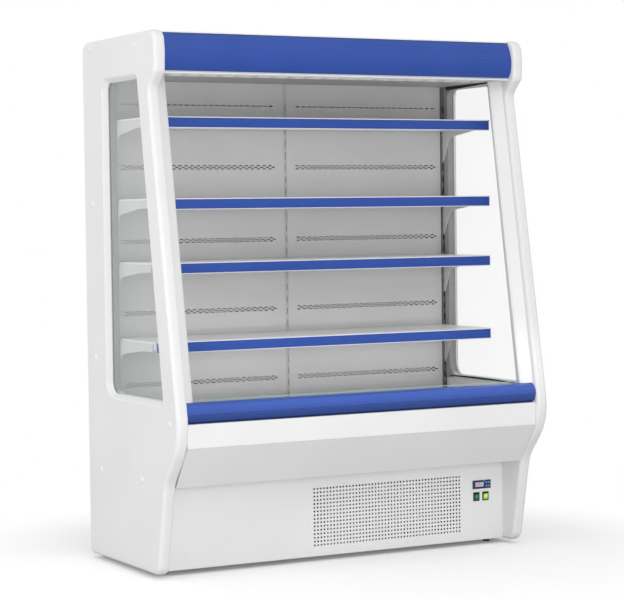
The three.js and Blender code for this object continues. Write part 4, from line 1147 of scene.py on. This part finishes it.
# shelf brackets: paint darkened as painted shade inside the case
bracketShadedFinish = coated("bracketPaintShaded", (0.62, 0.62, 0.625), {"roughness": 0.44, "peelDepth": 0.00004})
glassEdgeFinish = grained("glassEdge", (0.3, 0.52, 0.44), {
    "grain": 1500.0, "roughness": 0.2, "dust": 0.1, "grainDepth": 0.00002})
holderFinish = coated("clearHolder", (0.74, 0.76, 0.8), {"roughness": 0.22, "coat": 0.3})
controllerFinish = grained("controllerNavy", (0.02, 0.035, 0.12), {
    "grain": 1500.0, "roughness": 0.3, "grainDepth": 0.00003})
displayFinish = grained("displayPane", (0.55, 0.58, 0.62), {
    "grain": 2500.0, "roughness": 0.14, "dust": 0.1, "grainDepth": 0.00001})
keyFinish = grained("keyRubber", (0.2, 0.42, 0.72), {
    "grain": 1800.0, "roughness": 0.4, "grainDepth": 0.00004})
digitFinish = keyLens("litDigits", (0.55, 0.015, 0.015), (0.9, 0.05, 0.03), {
    "middle": tuple(placed(599, 552, 227)), "reach": 0.03, "lit": 0.35})
darkKeyFinish = keyLens("darkKey", (0.01, 0.07, 0.03), (0.06, 0.3, 0.14), {
    "middle": tuple(placed(588.5, 556, 182)), "reach": 0.014, "lit": 0.03})
litKeyFinish = keyLens("litKey", (0.12, 0.4, 0.03), (0.62, 0.9, 0.16), {
    "middle": tuple(placed(629, 556, 182)), "reach": 0.014, "lit": 0.25})


def dressFrame():
    for node, slot in slotOf.items():
        mesh = frame["nodes"][node].data
        mesh.materials.clear()
        mesh.materials.append(materials[slot])


stageLook = {
    "floorSize": 60.0,
    "seenTone": 0.95,
    "bounceTone": 0.6,
    "near": 0.13,
    "far": 1.0,
    "reach": (0.95, 1.6),
}


def makeStage():
    size = stageLook["floorSize"]
    corners = [(x, z, 0) for x, z in boxOutline(-size, -size, size, size)]
    mesh = meshOf("studioFloor", corners, [range(4)])
    floor = bpy.data.objects.new("studioFloor", mesh)
    studio.objects.link(floor)
    made, place = newMaterial("studioFloor")
    sees = place.node("ShaderNodeLightPath", None, None, "Is Camera Ray")
    patches = place.noise(0.8, 2.0).between(0.2, 0.8, (0.98, 1.0))
    away = place.node("ShaderNodeVectorMath", {"operation": "LENGTH"}, {0: place}, 1)
    faded = away.between(*stageLook["reach"])
    lift = faded * (stageLook["far"] - stageLook["near"]) + stageLook["near"]
    seenTone = faded.mixed([stageLook["seenTone"]] * 3, (0.0, 0.0, 0.0))
    closeMaterial(place, {
        "Base Color": sees.mixed([stageLook["bounceTone"]] * 3, seenTone),
        "Roughness": patches * 0.9,
        "Specular IOR Level": 0.0,
        "Emission Color": (sees * lift).mixed((0.0, 0.0, 0.0), (1.0, 1.0, 1.0)),
        "Emission Strength": 1.0,
    })
    mesh.materials.append(made)


worldLook = {"studio": 0.72, "seen": 1.0}


def makeWorld():
    world = bpy.data.worlds.new("studioWorld")
    bpy.context.scene.world = world
    world.use_nodes = True
    tree = world.node_tree
    tree.nodes.clear()
    paths = tree.nodes.new("ShaderNodeLightPath")
    camera, glossy, through = (
        Wire(tree, paths.outputs[name])
        for name in ("Is Camera Ray", "Is Glossy Ray", "Is Transmission Ray")
    )
    seen = camera.maths("MAXIMUM", camera, glossy.maths("MAXIMUM", glossy * 0.9, through))
    strength = seen * (worldLook["seen"] - worldLook["studio"]) + worldLook["studio"]
    sky = camera.node("ShaderNodeBackground", None, {"Color": (1, 1, 1, 1), "Strength": strength})
    end = tree.nodes.new("ShaderNodeOutputWorld")
    plug(tree, sky, end.inputs["Surface"])


lamps = {
    "overheadSoftbox": {"place": (-0.4, -3.0, 4.6), "aim": (0, 0, 1.0), "size": 3.0, "power": 20},
    "leftSoftbox": {"place": (-5.2, -0.3, 1.9), "aim": (0, 0, 0.9), "size": 2.5, "power": 68},
    "caseFill": {"place": (-0.4, -2.6, 1.2), "aim": (0, 0.2, 0.7), "size": 1.2, "power": 2.5},
    "lowFrontFill": {"place": (-1.4, -5.0, 0.55), "aim": (0, 0, 0.6), "size": 2.4, "power": 104},
    "deckStrip": {
        "place": (0.1, -1.7, 0.7), "aim": (0.1, 0, 0.71), "size": 1.2, "power": 0.2,
        "height": 0.06, "spread": 14,
    },
}


def makeLamps():
    for name, look in lamps.items():
        data = bpy.data.lights.new(name, "AREA")
        data.size = look["size"]
        data.energy = look["power"]
        if "height" in look:
            data.shape = "RECTANGLE"
            data.size_y = look["height"]
            data.spread = math.radians(look["spread"])
        lamp = bpy.data.objects.new(name, data)
        studio.objects.link(lamp)
        lamp.location = look["place"]
        aim = Vector(look["aim"]) - Vector(look["place"])
        lamp.rotation_euler = aim.to_track_quat("-Z", "Y").to_euler()


makeCamera()
print("camera placed")
dressFrame()
print("frame dressed")
sweepForm = makeSweepForm()
tileForm = makeTileForm()
makeEndPanels()
makeScrewCaps()
print("end panels and caps made")
makeFascia()
makeBumper()
makeRiserEdge()
makeTicketStrips()
print("swept rails made")
makeRearPanels()
makePlinth()
print("perforated panels made")
makeController()
makeSwitches()
print("controls made")
makeRearCover()
makeRivets()
makeShadeSeals()
makeSideSeals()
makeUprightBacking()
makeSoftEdges()
print("remaining parts finished")
makeStage()
makeWorld()
makeLamps()
print("stage lit")

bpy.context.scene.view_settings.view_transform = "Standard"
